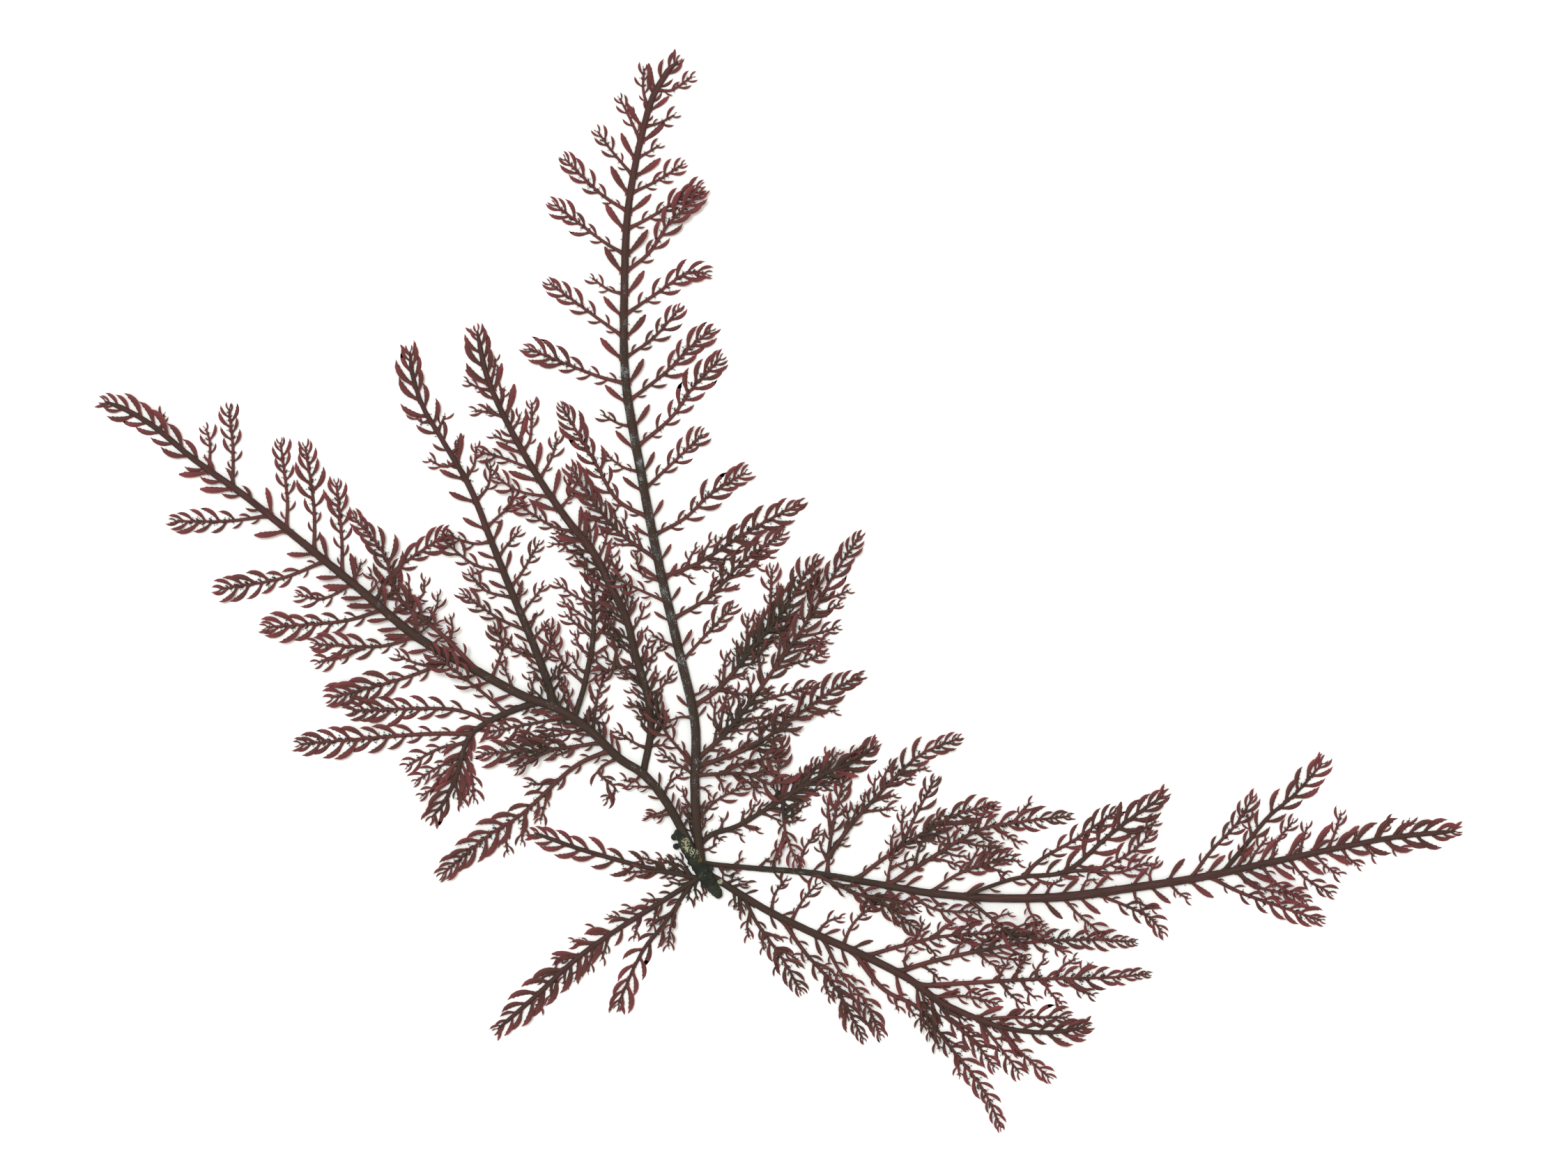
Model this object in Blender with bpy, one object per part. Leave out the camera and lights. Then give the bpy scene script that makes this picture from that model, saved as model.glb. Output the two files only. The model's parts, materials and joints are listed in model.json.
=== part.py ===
"""A pressed red seaweed, Ptilota (Neoptilota) asplenioides, lying flat.

Every frond is one solid: a stem, the leafy sprays that grow from it and the
blades along both.  The fronds spread from one holdfast.  Where one frond
crosses another, it is laid over it, as in a pressed sheet.

Lengths in the tables are millimetres, seen from above, with the holdfast at
(0, 0), +X to the right and +Y along the tall crown frond.  The model itself
is in metres, with +Z up and the surface that it lies on at Z = 0.
"""
import math
import random

import bmesh
import bpy
import numpy as np

MM = 0.001

# Driving sizes, in millimetres
BLADE_THICK = 0.62       # a spray's rib and blades
BEARING_THICK = 0.82     # the rib of a spray that bears others
EDGE_HALF = 0.37         # half the height of a stem's thin edge
STEM_ROUND = 0.85        # a stem's height for its width
STEM_LEAST = 2.2         # and its least height, for half its edge
SPRAY_FOOT = (0.5, 0.013, 1.1)   # a rib's width at its foot: least, more for its length, most
SPRAY_TIP = 0.35
LONGEST_BLADE = (1.4, 0.11, 5.2)  # the same for the longest blade of a spray
BLADE_ALONG = ((0.0, 0.15, 0.65, 0.88, 1.0), (0.3, 0.55, 1.0, 0.85, 0.5))
STEM_BLADE_ALONG = ((0.0, 0.15, 0.5, 0.8, 1.0), (2.6, 3.4, 5.0, 6.6, 5.5))
STEM_BLADE_PITCH = 3.0   # between the blades beyond a stem's last spray
BEARS_BLADE = 5.5        # a spray of at least this length has a blade opposite it
BLADE_SPREAD = 0.62      # the share of a blade's length that it reaches to the side
SIDE_ROOM = 0.5          # ground kept free beside a stem or the tips of the blades
RIB_ROOM = 0.3           # and beside a rib within its own frond
BLADE_BASE = (1.1, 0.12)  # the foot of a stem's blade, along the stem, and more for its length
STEM_STEP = 8.5          # from one section of a stem to the next
SECTION_ROOM = 1.2       # two sections are never closer
BASE_ROOM = 1.4          # and no section is closer than this to a blade's foot
CLIMB_MISS = 0.15        # how far a stem's sections may miss its laid heights
STEM_POINT = 2.8         # the bare point at a stem's tip
LAYER_GAP = 0.45         # clear height between a frond and what it crosses
UNEVEN = 0.012           # steps that keep two sprays' flat faces from coinciding
PITCH_FOOT = 5.7         # from one blade to the next on a side of a short spray
PITCH_GROWTH = 0.085     # and how much more for each length of the spray
BARE_FOOT = (2.0, 0.07)  # the bare foot of a spray, and more for its length
SPRAY_ANGLE = math.radians(36.0)
STEM_BLADE_ANGLE = math.radians(40.0)
GENTLE_RISE = 0.45       # how fast a frond climbs over another, height per length
STEEP_RISE = 1.3         # and the steepest start of a spray from what bears it
FOOT_FREE = 5.0          # this far from its foot a spray may touch what bears it
RIB_FREE = 2.5           # and this far any rib of its own frond
ACROSS = 33              # places looked at across an axis
CELL = 0.5               # mesh of the height field that the fronds are laid on
FIELD_LOW = (-150.0, -72.0)
FIELD_SIZE = (330.0, 272.0)
WELD = 2e-6              # metres: points closer than this become one
KEPT_SHARE = 0.8         # of the faces after the union: slivers and flat extras go
SEED = 7
LUMP_SIDES = 7
# A knob from side to side: place, half width and height, each for its half width
KNOB = ((-0.8, 0.5, 0.6), (0.0, 1.0, 1.0), (0.8, 0.55, 0.6))

# The holdfast, end to end, and the knobs on it: place, half width, height.
HOLDFAST_BODY = (
    (-4.9, 8.0, 0.8, 1.2), (-4.2, 7.3, 1.6, 2.4), (-2.4, 4.5, 2.3, 3.2),
    (-0.1, 0.9, 1.9, 3.3), (1.9, -2.6, 1.6, 2.9), (3.1, -4.8, 0.9, 1.3),
)
HOLDFAST_KNOBS = (
    (-5.6, 6.2, 1.2, 2.1), (-1.3, 6.4, 1.1, 2.3), (-2.2, 0.6, 1.2, 2.4), (0.9, 1.7, 1.0, 2.6),
)

# Stems: the foot first, then the way to the tip, with the width at both ends
# and at the middle.  Sprays: the foot first, each on the stem or spray that
# passes it.
CROWN_STEMS = (
    ((2.4, 1.9, 0.8),
     ((-2.1, 10.2), (-2.8, 20), (-2.8, 34), (-6.4, 50), (-11, 70), (-14.9, 90),
      (-18.2, 110), (-18.5, 130), (-17.4, 150), (-13.2, 170), (-9.3, 178), (-6.6, 181))),
)
CROWN_SPRAYS = (
    # Right side, from the tip down
    ((-10.6, 174), (-8, 174.5), (-3.5, 177.5)),
    ((-13.2, 166.2), (-10.5, 167.3), (-7.4, 169)),
    ((-16, 159.3), (-13.4, 160.6), (-10.8, 162.2)),
    ((-16.9, 151.4), (-11, 154.5), (-5.6, 158)),
    ((-17.7, 143.2), (-12.3, 146.5), (-1.7, 153.1)),
    ((-18.3, 134.1), (-13.1, 138.2), (-8.2, 145.2), (-1.3, 151.4)),
    ((-18.5, 124.7), (-11.3, 129.3), (-4.8, 133.7), (-0.4, 133.8)),
    ((-18.3, 114.9), (-11.8, 119.6), (-6.3, 125.9)),
    ((-17.2, 105.3), (-9.2, 111.8), (-4.2, 117), (0.6, 121)),
    ((-15.7, 95.4), (-8.1, 101.6), (-3.2, 108.4), (2.8, 114.7)),
    ((-13.9, 85.4), (-7.7, 91.6), (-1.2, 97.8)),
    ((-12, 75.2), (-5.1, 79.2), (0.8, 84.7), (8.3, 89.3)),
    ((-9.9, 65.8), (-1.8, 69.4), (7, 75), (14.2, 79.2), (20.4, 82.4)),
    ((-7.8, 56.5), (0.5, 61.8), (7.6, 69.3), (16.6, 75.7)),
    ((-5.7, 47.2), (-1.4, 52.1), (5.5, 59.5)),
    # Left side
    ((-12.9, 170.2), (-14.3, 174.6), (-14.1, 179.3)),
    ((-15.2, 163.6), (-17.7, 169.2), (-19.5, 172.7)),
    ((-16.6, 155.8), (-21.2, 160.9), (-24.4, 165.3)),
    ((-17.6, 147.8), (-23.9, 151.6), (-31.7, 159.2)),
    ((-18.2, 138.2), (-23.8, 141.3), (-33.9, 149.1)),
    ((-18.6, 129.3), (-22, 130.1), (-25.6, 132.7)),
    ((-18.6, 119.4), (-24.9, 124.1), (-35, 131.5)),
    ((-18.3, 109.2), (-25.6, 111.3), (-39.7, 117)),
    ((-16.4, 99.7), (-19.5, 100.2), (-23.2, 102.2)),
    ((-15, 89.8), (-18.8, 90.6), (-22.4, 93.3)),
    ((-13.2, 79.5), (-20.1, 83.4), (-24.9, 91.5), (-32.3, 104)),
    ((-11.1, 69.6), (-20.1, 76.5), (-26.9, 85), (-30.3, 90.5)),
    ((-10, 65.2), (-14.6, 66.8), (-16, 71.5)),
    ((-9, 60.6), (-15, 63.3), (-21, 66.2)),
    ((-6.6, 50.2), (-9.3, 51.7), (-12.3, 53.2)),
    ((-3.4, 34.6), (-6.1, 35), (-9.6, 33.6)),
    ((-2.8, 24), (-9, 31.3), (-11, 35.5), (-11.4, 39.4)),
    ((-2.8, 22.2), (-7, 24.8), (-10.3, 26.8)),
    ((-2.7, 14.5), (-4.6, 16.2), (-5.6, 19)),
    # The branches on the right, with their own sprays
    ((-2.8, 37.2), (2.7, 41.5), (9.1, 49), (18.1, 60.3), (21.8, 67), (24.5, 70)),
    ((13, 54.6), (14, 61), (14.3, 68)),
    ((8.6, 48.4), (8.8, 53), (9, 57.3)),
    ((4, 42.6), (3.6, 45.6), (4.3, 49)),
    ((14.6, 56.4), (17.5, 56.6), (20.4, 57.6)),
    ((-2.8, 25.5), (5, 32.5), (14.8, 45.6), (21.8, 55.8), (28.6, 67.4), (33.8, 75.2)),
    ((9.4, 38.3), (16.4, 39.9), (23.3, 41.9)),
    ((6.6, 34.4), (13.2, 35.1), (18.1, 36)),
    ((15, 45.9), (21.7, 47.6), (26.1, 49.2)),
    ((20, 52.6), (24.1, 53.5), (29, 55)),
    ((23.4, 58.2), (26.6, 58.6), (29.4, 60.2)),
    ((22.4, 56.8), (23.4, 62), (24.4, 67.5)),
    ((15.6, 46.6), (16.2, 51), (17, 55.3)),
    ((-2.8, 23.6), (10, 28.5), (18.1, 34.1), (27.9, 41), (33.8, 43.9)),
    ((19.4, 35), (20.4, 38), (21.4, 41)),
    ((-2.8, 21.8), (8.3, 22.4), (14.6, 20), (15.8, 24), (16.6, 29.5)),
    ((3, 23), (9, 25), (16.5, 26.4)),
    ((-2.5, 11.8), (0.9, 15.5), (3.4, 17.3), (8.3, 19.8)),
)
LOW_RIGHT_STEMS = (
    ((1.2, 1.0, 0.6),
     ((1.4, 9.1), (7, 10.9), (16.8, 16.8), (25.9, 22.3), (32.4, 25), (37.3, 28.5))),
)
LOW_RIGHT_SPRAYS = (
    ((16.6, 16.7), (17.2, 10), (18.5, 6), (20, 2.6)),
    ((17.2, 9.2), (16, 6), (15, 3)),
    ((17.3, 12.4), (19.6, 13.4), (21.4, 15.4)),
    ((13.4, 14.6), (15.4, 17), (17.6, 20.4)),
    ((20, 18.7), (21.6, 21.4), (23.4, 24.6)),
    ((19.6, 18.5), (22.4, 18.2), (25.4, 19.2)),
    ((8.2, 11.6), (9.4, 13), (10.6, 15.6)),
)
LEFT_STEMS = (
    ((2.6, 2.5, 1.0),
     ((-6.2, 9.2), (-9, 15.9), (-14, 22.1), (-19.8, 26), (-26.4, 32.3), (-33.5, 37),
      (-41.3, 39.9), (-53.1, 46.3), (-65.1, 53.2), (-78.2, 64.2), (-91, 74.6),
      (-102.5, 83.9), (-113.9, 92.1), (-122.7, 99.3), (-129, 103.2), (-134, 105.2))),
    ((1.6, 1.2, 0.7),
     ((-37.6, 38.2), (-41.3, 37.2), (-48, 34.3), (-53.1, 30.4), (-55.8, 22.1),
      (-58.5, 16.2), (-61.3, 12.7))),
)
LEFT_SPRAYS = (
    # Upper side
    ((-122, 98.6), (-121.4, 100), (-121, 102.4)),
    ((-110.9, 90), (-110.7, 95.7), (-111.6, 99.2)),
    ((-105.5, 86.2), (-105.6, 94.8), (-106.5, 103.6)),
    ((-93.8, 76.9), (-93.5, 83.6), (-95, 96)),
    ((-87.4, 71.7), (-87.6, 82.1), (-89.5, 95.1)),
    ((-81, 66.5), (-81.4, 75), (-82.6, 87)),
    ((-74, 60.6), (-70.4, 66.8), (-65.1, 71), (-58.2, 75.5)),
    ((-50.6, 45.3), (-58.2, 52.7), (-68.5, 61.5), (-72, 71.3), (-78.7, 79.5)),
    ((-57.4, 52), (-56.6, 54.4), (-57.2, 57.4)),
    ((-48.4, 43.6), (-46.4, 47.6), (-45.6, 51.1), (-47.6, 55)),
    ((-43, 40.7), (-44.4, 44.2), (-45.9, 47)),
    ((-39.2, 39), (-38.9, 41.6), (-39.7, 43.8)),
    ((-25.6, 31.6), (-25, 36.4), (-24.3, 40), (-22.8, 44.8)),
    ((-23.6, 29.6), (-23, 31.4), (-23.2, 34)),
    ((-9.6, 17), (-8.4, 20.4), (-5.4, 22.6)),
    # Lower side
    ((-97.4, 79.7), (-107, 78.6), (-118.5, 78.6)),
    ((-85.2, 70), (-95.1, 65.8), (-108.4, 63.5)),
    ((-78.7, 64.5), (-85.3, 61.4), (-91, 62.2)),
    ((-72, 59), (-81.4, 56.3), (-98.1, 55)),
    ((-64.5, 52.9), (-73.3, 50.7), (-87.3, 51.2)),
    ((-76, 50.4), (-81, 48.4), (-86.7, 47.2)),
    ((-56.8, 48.3), (-66.8, 43.9), (-83.6, 39.3)),
    ((-61, 45.9), (-65, 47), (-69, 48.8)),
    ((-30.5, 35), (-39.4, 33.5), (-49, 31.5)),
    ((-27, 32.6), (-32, 31.2), (-41.4, 30.1)),
    ((-23.4, 28.9), (-33.4, 28), (-50.1, 26.8)),
    ((-34.6, 27.7), (-38, 26), (-42.4, 23.3)),
    ((-22, 27.6), (-29.9, 23.7), (-41.2, 13.5), (-49.1, 8.4), (-58.8, 0.2)),
    ((-40.2, 14.6), (-41, 11), (-41.3, 7.2)),
    ((-44.4, 11.2), (-44.8, 8), (-44.5, 4.9)),
    ((-33.6, 20.8), (-36.4, 20.1), (-39.6, 20.2)),
    ((-35.6, 18.8), (-36, 16), (-37.2, 12)),
    ((-20, 26), (-24.3, 22.9), (-20.4, 19), (-22.5, 16.7)),
    ((-8.6, 15.4), (-10, 13.8), (-13, 13.2)),
    ((-14.6, 22.2), (-16.4, 20.6), (-18.6, 21)),
    # On the drooping branch
    ((-44.5, 36), (-50, 40.5), (-60.9, 49.2)),
    ((-48.2, 34.2), (-57.8, 36.8), (-78.9, 36.4)),
    ((-52.2, 31.2), (-64.8, 31.1), (-90.6, 29)),
    ((-54, 29), (-59.7, 28), (-66.8, 24.1)),
    ((-54.6, 26), (-60, 23.8), (-64.8, 20.8)),
    ((-56, 21.7), (-60, 19.6), (-63.6, 17.5)),
    ((-54.2, 27), (-52.6, 22.4), (-51.9, 16.6)),
    ((-56.2, 20.6), (-55.6, 18.4), (-54.8, 15.4)),
)
OUTER_LEFT_STEMS = (
    ((1.9, 1.4, 0.6),
     ((-35.1, 41.2), (-36, 44), (-39, 51.9), (-43.1, 61.7), (-47.8, 73.4),
      (-52.8, 86), (-58.6, 96), (-63.2, 103.8), (-65.6, 111), (-66.2, 116.3))),
)
OUTER_LEFT_SPRAYS = (
    ((-61.7, 101.2), (-63.4, 100.4), (-65, 102)),
    ((-60, 98.2), (-59.4, 100), (-58.4, 102)),
    ((-56.2, 91.8), (-58.6, 90.7), (-62, 92.3)),
    ((-57.2, 93.6), (-55.6, 95), (-55.4, 97)),
    ((-54.2, 88.2), (-51.9, 91), (-51.5, 95.2)),
    ((-51.4, 82.8), (-48.8, 86.4), (-48.2, 91)),
    ((-49.2, 76.9), (-44.6, 81.2), (-41, 82.8)),
    ((-44.9, 81), (-43.8, 82.8), (-43.2, 85.4)),
    ((-48, 73.8), (-52, 73.6), (-58.8, 75.8)),
    ((-46.6, 70.4), (-44.8, 73), (-42, 76.3)),
    ((-45.4, 67.4), (-52, 69), (-58.8, 74.4)),
    ((-43.9, 63.6), (-41.4, 67), (-37.6, 73.6)),
    ((-42.9, 61.2), (-49.1, 63), (-53, 67)),
    ((-41.5, 57.8), (-39.2, 60.7), (-36.5, 64.1)),
    ((-40, 54.2), (-46.5, 57), (-54.3, 62.4)),
    ((-38.9, 51.6), (-37.4, 54), (-35.6, 55.6)),
    ((-37.7, 48.6), (-43.8, 50.3), (-47.4, 55)),
    ((-36.9, 46.4), (-35.2, 49.8), (-34.8, 53.2)),
    ((-35.8, 43.2), (-33.6, 43.8), (-31.8, 46.4)),
)
MIDDLE_LEFT_STEMS = (
    ((1.3, 1.2, 0.6),
     ((-28.8, 38.5), (-27.7, 40.7), (-26.7, 45.1), (-25.5, 52.1), (-25.3, 60), (-26, 66.3))),
)
MIDDLE_LEFT_SPRAYS = (
    ((-27.3, 42.6), (-31.3, 46), (-33.8, 50.7), (-35.4, 55.4)),
    ((-26.7, 45), (-28.6, 45.8), (-30, 48.8)),
    ((-26, 49), (-28.2, 50.2), (-29.6, 53.6)),
    ((-25.5, 52.6), (-28, 54.6), (-31.5, 57.8)),
    ((-25.4, 56), (-28.4, 58), (-32.2, 60.6)),
    ((-25.3, 60), (-29.3, 61.8), (-33.4, 64.8)),
    ((-25.5, 53), (-23.4, 54.4), (-22.6, 57.6)),
    ((-25.3, 58), (-23.4, 59.4), (-22.4, 62)),
)
INNER_LEFT_STEMS = (
    ((1.4, 1.8, 0.8),
     ((-13.6, 26.2), (-13, 29), (-12.6, 33.9), (-13.6, 40.8), (-16.1, 49.2),
      (-18, 56.8), (-21.3, 63.7), (-25.7, 72.1), (-31.1, 78.8), (-36.7, 86.9),
      (-42.8, 97.1), (-47.9, 107.7), (-49.9, 114), (-51.2, 120.8))),
)
INNER_LEFT_SPRAYS = (
    ((-48.6, 109.5), (-47.6, 111.6), (-47.2, 114.8)),
    ((-47.8, 107.4), (-51, 108.3), (-53.6, 109.8)),
    ((-46.6, 104.8), (-45.6, 106.2), (-45.3, 108.2)),
    ((-45.3, 102), (-48.6, 102.8), (-51.8, 103.2)),
    ((-43.9, 99), (-42.4, 100.2), (-41.7, 102.4)),
    ((-42.4, 96.4), (-45, 96.5), (-47.6, 97.8)),
    ((-41, 93.8), (-39.4, 97.1), (-39.1, 104.9)),
    ((-38.8, 90.2), (-45.6, 92.7), (-50.6, 94)),
    ((-37.2, 87.6), (-34.7, 92.7), (-33.4, 97)),
    ((-34.8, 83.9), (-41.7, 85.2), (-47, 88.4)),
    ((-32.8, 81), (-30.8, 84), (-30.8, 88)),
    ((-29.2, 76.4), (-34.4, 77.4), (-41.9, 82.2)),
    ((-28, 75), (-31, 73.6), (-34.7, 73.5)),
    ((-27.4, 74.4), (-26.6, 77), (-27.4, 80)),
    ((-25.9, 72.2), (-28.5, 71.4), (-31.4, 71.9)),
    ((-23.6, 68), (-26.4, 67.8), (-29.2, 69.6)),
    ((-21.6, 64.2), (-20, 66.4), (-20.2, 69.6)),
    ((-18.9, 59.2), (-17.8, 61.4), (-18.2, 64)),
    ((-18.1, 57.2), (-20.6, 58), (-23, 61.4)),
    ((-16.3, 49.8), (-19.9, 52.7), (-22.4, 57)),
    ((-14.9, 46), (-11.9, 48.9), (-10, 51.1)),
    ((-15, 46.4), (-19.6, 46), (-24.6, 44.2)),
    ((-13.3, 39.6), (-10.8, 41.1), (-7.8, 44.6)),
    ((-13, 28.2), (-15.6, 28.9), (-20.3, 31.9)),
)
RIGHT_STEMS = (
    ((1.4, 2.2, 0.8),
     ((2.5, 2.1), (11.4, 1.3), (23.4, 0.3), (37.1, -2), (50.8, -4.3), (64.8, -5.3),
      (80, -4.9), (95, -2.9), (110, -0.6), (124, 2.4), (140, 5.8), (153.3, 8.3), (166.4, 9.6))),
    ((1.1, 0.9, 0.5),
     ((114.3, 0.6), (119.6, 6.3), (124.8, 12.7), (130.8, 17.9), (136.8, 24.6))),
    ((0.8, 1.1, 0.6),
     ((57.4, -5), (62.6, -2.7), (70.1, -0.6), (80, 0.8), (89.2, 8.5), (97, 14.4), (101.5, 17.4))),
)
RIGHT_SPRAYS = (
    # Upper side
    ((14.6, 1.1), (15, 3.4), (16.4, 6.8)),
    ((20, 0.8), (21.7, 5.9), (25, 9.6)),
    ((26.5, 0.2), (27.2, 6.6), (28.8, 15), (30.8, 23)),
    ((26.9, 4), (32.6, 11.7), (41.2, 21), (47.7, 26.8), (55.8, 30.2)),
    ((30.8, 9.4), (31.4, 11.6), (30.8, 15)),
    ((34.6, 13.8), (38, 14.2), (41.4, 14.8)),
    ((37, 16.6), (39.6, 17), (41.9, 17.6)),
    ((33, -1.1), (40.2, 4.2), (47.7, 9), (55.9, 13.5), (64, 15.4)),
    ((43.3, 6.4), (46, 12.4), (50.4, 20.9)),
    ((39.8, -2.3), (40.6, 1.8), (42, 6.6)),
    ((40.8, 1.6), (43, 2.3), (45.6, 3.5)),
    ((51.6, 10.7), (55.4, 11.2), (59.2, 11.6)),
    ((40.2, -2.3), (49.1, 3.2), (60, 9.7), (69.8, 11.7), (80.6, 12.9)),
    ((49.8, 3.6), (53, 3), (56.6, 1.6)),
    ((53.4, 6), (53.6, 8.6), (52.4, 11)),
    ((59.6, 9.6), (61.6, 8), (63.6, 7)),
    ((49.6, -4.1), (56, 0.2), (62.6, 2.5), (67.3, 4.4)),
    ((57.6, 1.1), (59, 3.4), (60.4, 5.8)),
    ((60.6, 2), (62, 4.4), (64, 6.6)),
    ((61, 2.1), (64.4, 0.9), (66.6, 0.2)),
    ((64, 2.8), (67, 3.2), (69.6, 2.8)),
    ((70.4, -0.5), (74.2, 3.3), (82.1, 7.9), (90.8, 14)),
    ((79.6, 0.7), (87.3, 1.3), (94.8, 5.3), (98.8, 9.4)),
    ((85, 0.9), (91, 0.4), (98, 2.6)),
    ((91.6, 10.3), (95, 9.2), (99.8, 11.8)),
    ((75, -5.1), (76.6, -2.4), (79, -1.2)),
    ((82.9, -4.6), (84.2, -1.4), (86.4, -1.2)),
    ((98.6, -2.2), (98.4, 0.4), (100.2, 2.8)),
    ((107.2, -1), (112.2, 5.3), (117.5, 10.9), (121.4, 17.2)),
    ((121, 8.1), (120.6, 10.6), (120, 13.4)),
    ((117.6, 0.9), (119, 3.6), (119.8, 7)),
    ((119.7, 1.3), (122, 4.9), (124.4, 8)),
    ((125.8, 2.9), (126.6, 7), (130.2, 11.6)),
    ((131.9, 4), (132.4, 7.2), (133.5, 10.6)),
    ((137.9, 5.5), (139.6, 9.2), (141, 13.6)),
    ((143.6, 6.5), (144, 8), (144.6, 9.4)),
    ((148.8, 7.5), (150.2, 9.6), (151.8, 11.4)),
    ((153.6, 8.3), (155, 10.4), (156.2, 12)),
    # Lower side
    ((23.4, 0.3), (32, -3.7), (38.8, -6.4), (47, -12.4)),
    ((35.4, -4.8), (40.2, -5.6), (46.7, -7.4)),
    ((44, -3.2), (50.2, -7.6), (59.4, -8.4)),
    ((57.4, -5.2), (62.9, -9.5), (68.1, -13.2), (74.9, -12.3)),
    ((70.6, -5.3), (71.6, -8.1), (73.9, -11.4)),
    ((79, -4.9), (82.7, -9.1), (88.2, -13.6)),
    ((86.4, -4.2), (93.1, -7), (98.4, -9.6), (101.2, -13)),
    ((94.6, -3), (95.6, -6), (99.4, -7.6)),
    ((102.8, -1.7), (104.6, -4), (106.9, -5.4)),
    ((111.6, -0.4), (118.5, -4), (126.9, -7), (136.4, -10.2)),
    ((117.6, 0.9), (122.4, -2.8), (131.6, -4.6)),
    ((122.8, 2), (126.6, -2.1), (133.2, -6)),
    ((129.2, 3.6), (132.9, -0.7), (138.6, -4.2)),
    ((135.2, 4.9), (138, 1.5), (140.6, 0)),
    ((140.8, 6), (142.7, 3.5), (145.2, 1.9)),
    ((146.2, 7), (147, 5.4), (148.4, 4)),
    ((151, 7.9), (152.6, 6.2), (154.8, 5.6)),
)
LOWER_RIGHT_STEMS = (
    ((1.4, 1.8, 0.9),
     ((4.5, -2.4), (8.1, -4.9), (14.5, -8.7), (24.7, -13.6), (34.9, -18.1), (44.7, -23.2),
      (51.4, -28.1), (60, -32.1), (67.1, -34.4), (75.8, -35.2), (84.3, -34.1))),
)
LOWER_RIGHT_SPRAYS = (
    # Upper side
    ((14.4, -8.6), (15, -4.4), (17.6, -1)),
    ((18.8, -10.8), (21.3, -5.7), (24.4, -2.2)),
    ((24.1, -13.3), (26.6, -10.6), (29.8, -9.6)),
    ((30.2, -16), (32.6, -10.8), (38, -6)),
    ((35.4, -18.3), (44.7, -15.5), (53.2, -13.7), (66.6, -12.8)),
    ((45, -15.4), (47, -13.4), (48, -10.6)),
    ((47.6, -14.8), (49.6, -16.6), (51, -18.2)),
    ((42.4, -22), (51.4, -19), (68.7, -15.5), (83.7, -14.5), (95, -15)),
    ((44.4, -21.3), (43.6, -19), (45.4, -17)),
    ((48, -20.2), (50, -21.8), (51.8, -23.6)),
    ((55.4, -18.2), (56, -15.8), (58, -14.2)),
    ((62.4, -16.6), (65, -18.4), (70.6, -19.2)),
    ((60, -17.1), (62.4, -19.4), (65.4, -20.8)),
    ((66.4, -15.8), (68.4, -17.2), (71, -18.4)),
    ((76, -15.2), (78, -16.6), (79.6, -17.8)),
    ((47, -25), (58.9, -24.1), (73.9, -23.3), (88.6, -23), (98, -22.2)),
    ((57.6, -24.2), (58.6, -26), (60.8, -26.8)),
    ((64.4, -23.8), (65.4, -21.6), (67.1, -19.6)),
    ((68.4, -23.6), (69, -21), (70.8, -18.4)),
    ((73, -23.4), (73.4, -21), (75.2, -18.8)),
    ((77.6, -23.4), (79, -20.6), (81.9, -18.8)),
    ((82, -23.3), (83.6, -21), (85.4, -20)),
    ((65.6, -23.7), (67, -26.4), (70.2, -28.9)),
    ((70, -23.6), (71, -25.8), (73, -27.6)),
    ((74.6, -23.4), (76, -26), (78.8, -28.8)),
    ((80, -23.4), (82, -25.4), (86, -27)),
    ((50.4, -27.4), (57.4, -27.1), (64.5, -28.8)),
    ((60.8, -32.6), (66.8, -31.8), (80, -31.9)),
    # Lower side
    ((7.4, -4.2), (7, -6), (7.2, -8.2)),
    ((8.3, -4.9), (11, -10.8), (16.4, -18.4), (20.8, -26)),
    ((9.8, -8.8), (8.8, -11), (9.2, -14)),
    ((12.4, -13.2), (12.2, -14.8), (12.6, -16.8)),
    ((12.6, -13.2), (14.4, -13.4), (16.6, -14.6)),
    ((15.4, -17), (14.8, -18.8), (15.6, -21.2)),
    ((15.6, -17.2), (17.6, -17.4), (20.2, -19.2)),
    ((16, -9.6), (21.5, -17.1), (28.8, -25.7), (34.6, -36.6)),
    ((28.6, -25.4), (31, -26.4), (33.6, -28.8)),
    ((25.4, -14), (29.5, -21.6), (34.9, -27.9), (38.4, -35.8)),
    ((32.4, -17), (39, -25.4), (47, -29.8), (53.6, -37.9), (61.2, -47.7), (65.3, -56.3)),
    ((42, -26.9), (41.8, -28.4), (42.6, -30.4)),
    ((45, -28.4), (44.8, -29.6), (46.2, -31.6)),
    ((50.6, -34), (50.8, -36.4), (51.6, -38.8)),
    ((56, -40.9), (55.8, -43), (56.2, -45)),
    ((47.4, -25.2), (48.4, -29.3), (49.6, -36.2)),
    ((50.8, -27.8), (54.4, -32.7), (59.6, -37.6), (63.8, -42.8)),
    ((60.4, -32.4), (63.8, -36.8), (69.4, -44.2)),
    ((64.6, -33.7), (67.9, -37.9), (76, -45.2)),
)
LOWER_LEFT_STEMS = (
    ((1.2, 1.1, 0.5),
     ((-5.2, -3), (-11.8, -7.1), (-20.8, -12.8), (-29.4, -19), (-38.8, -27.6), (-46.6, -34.4))),
)
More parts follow.
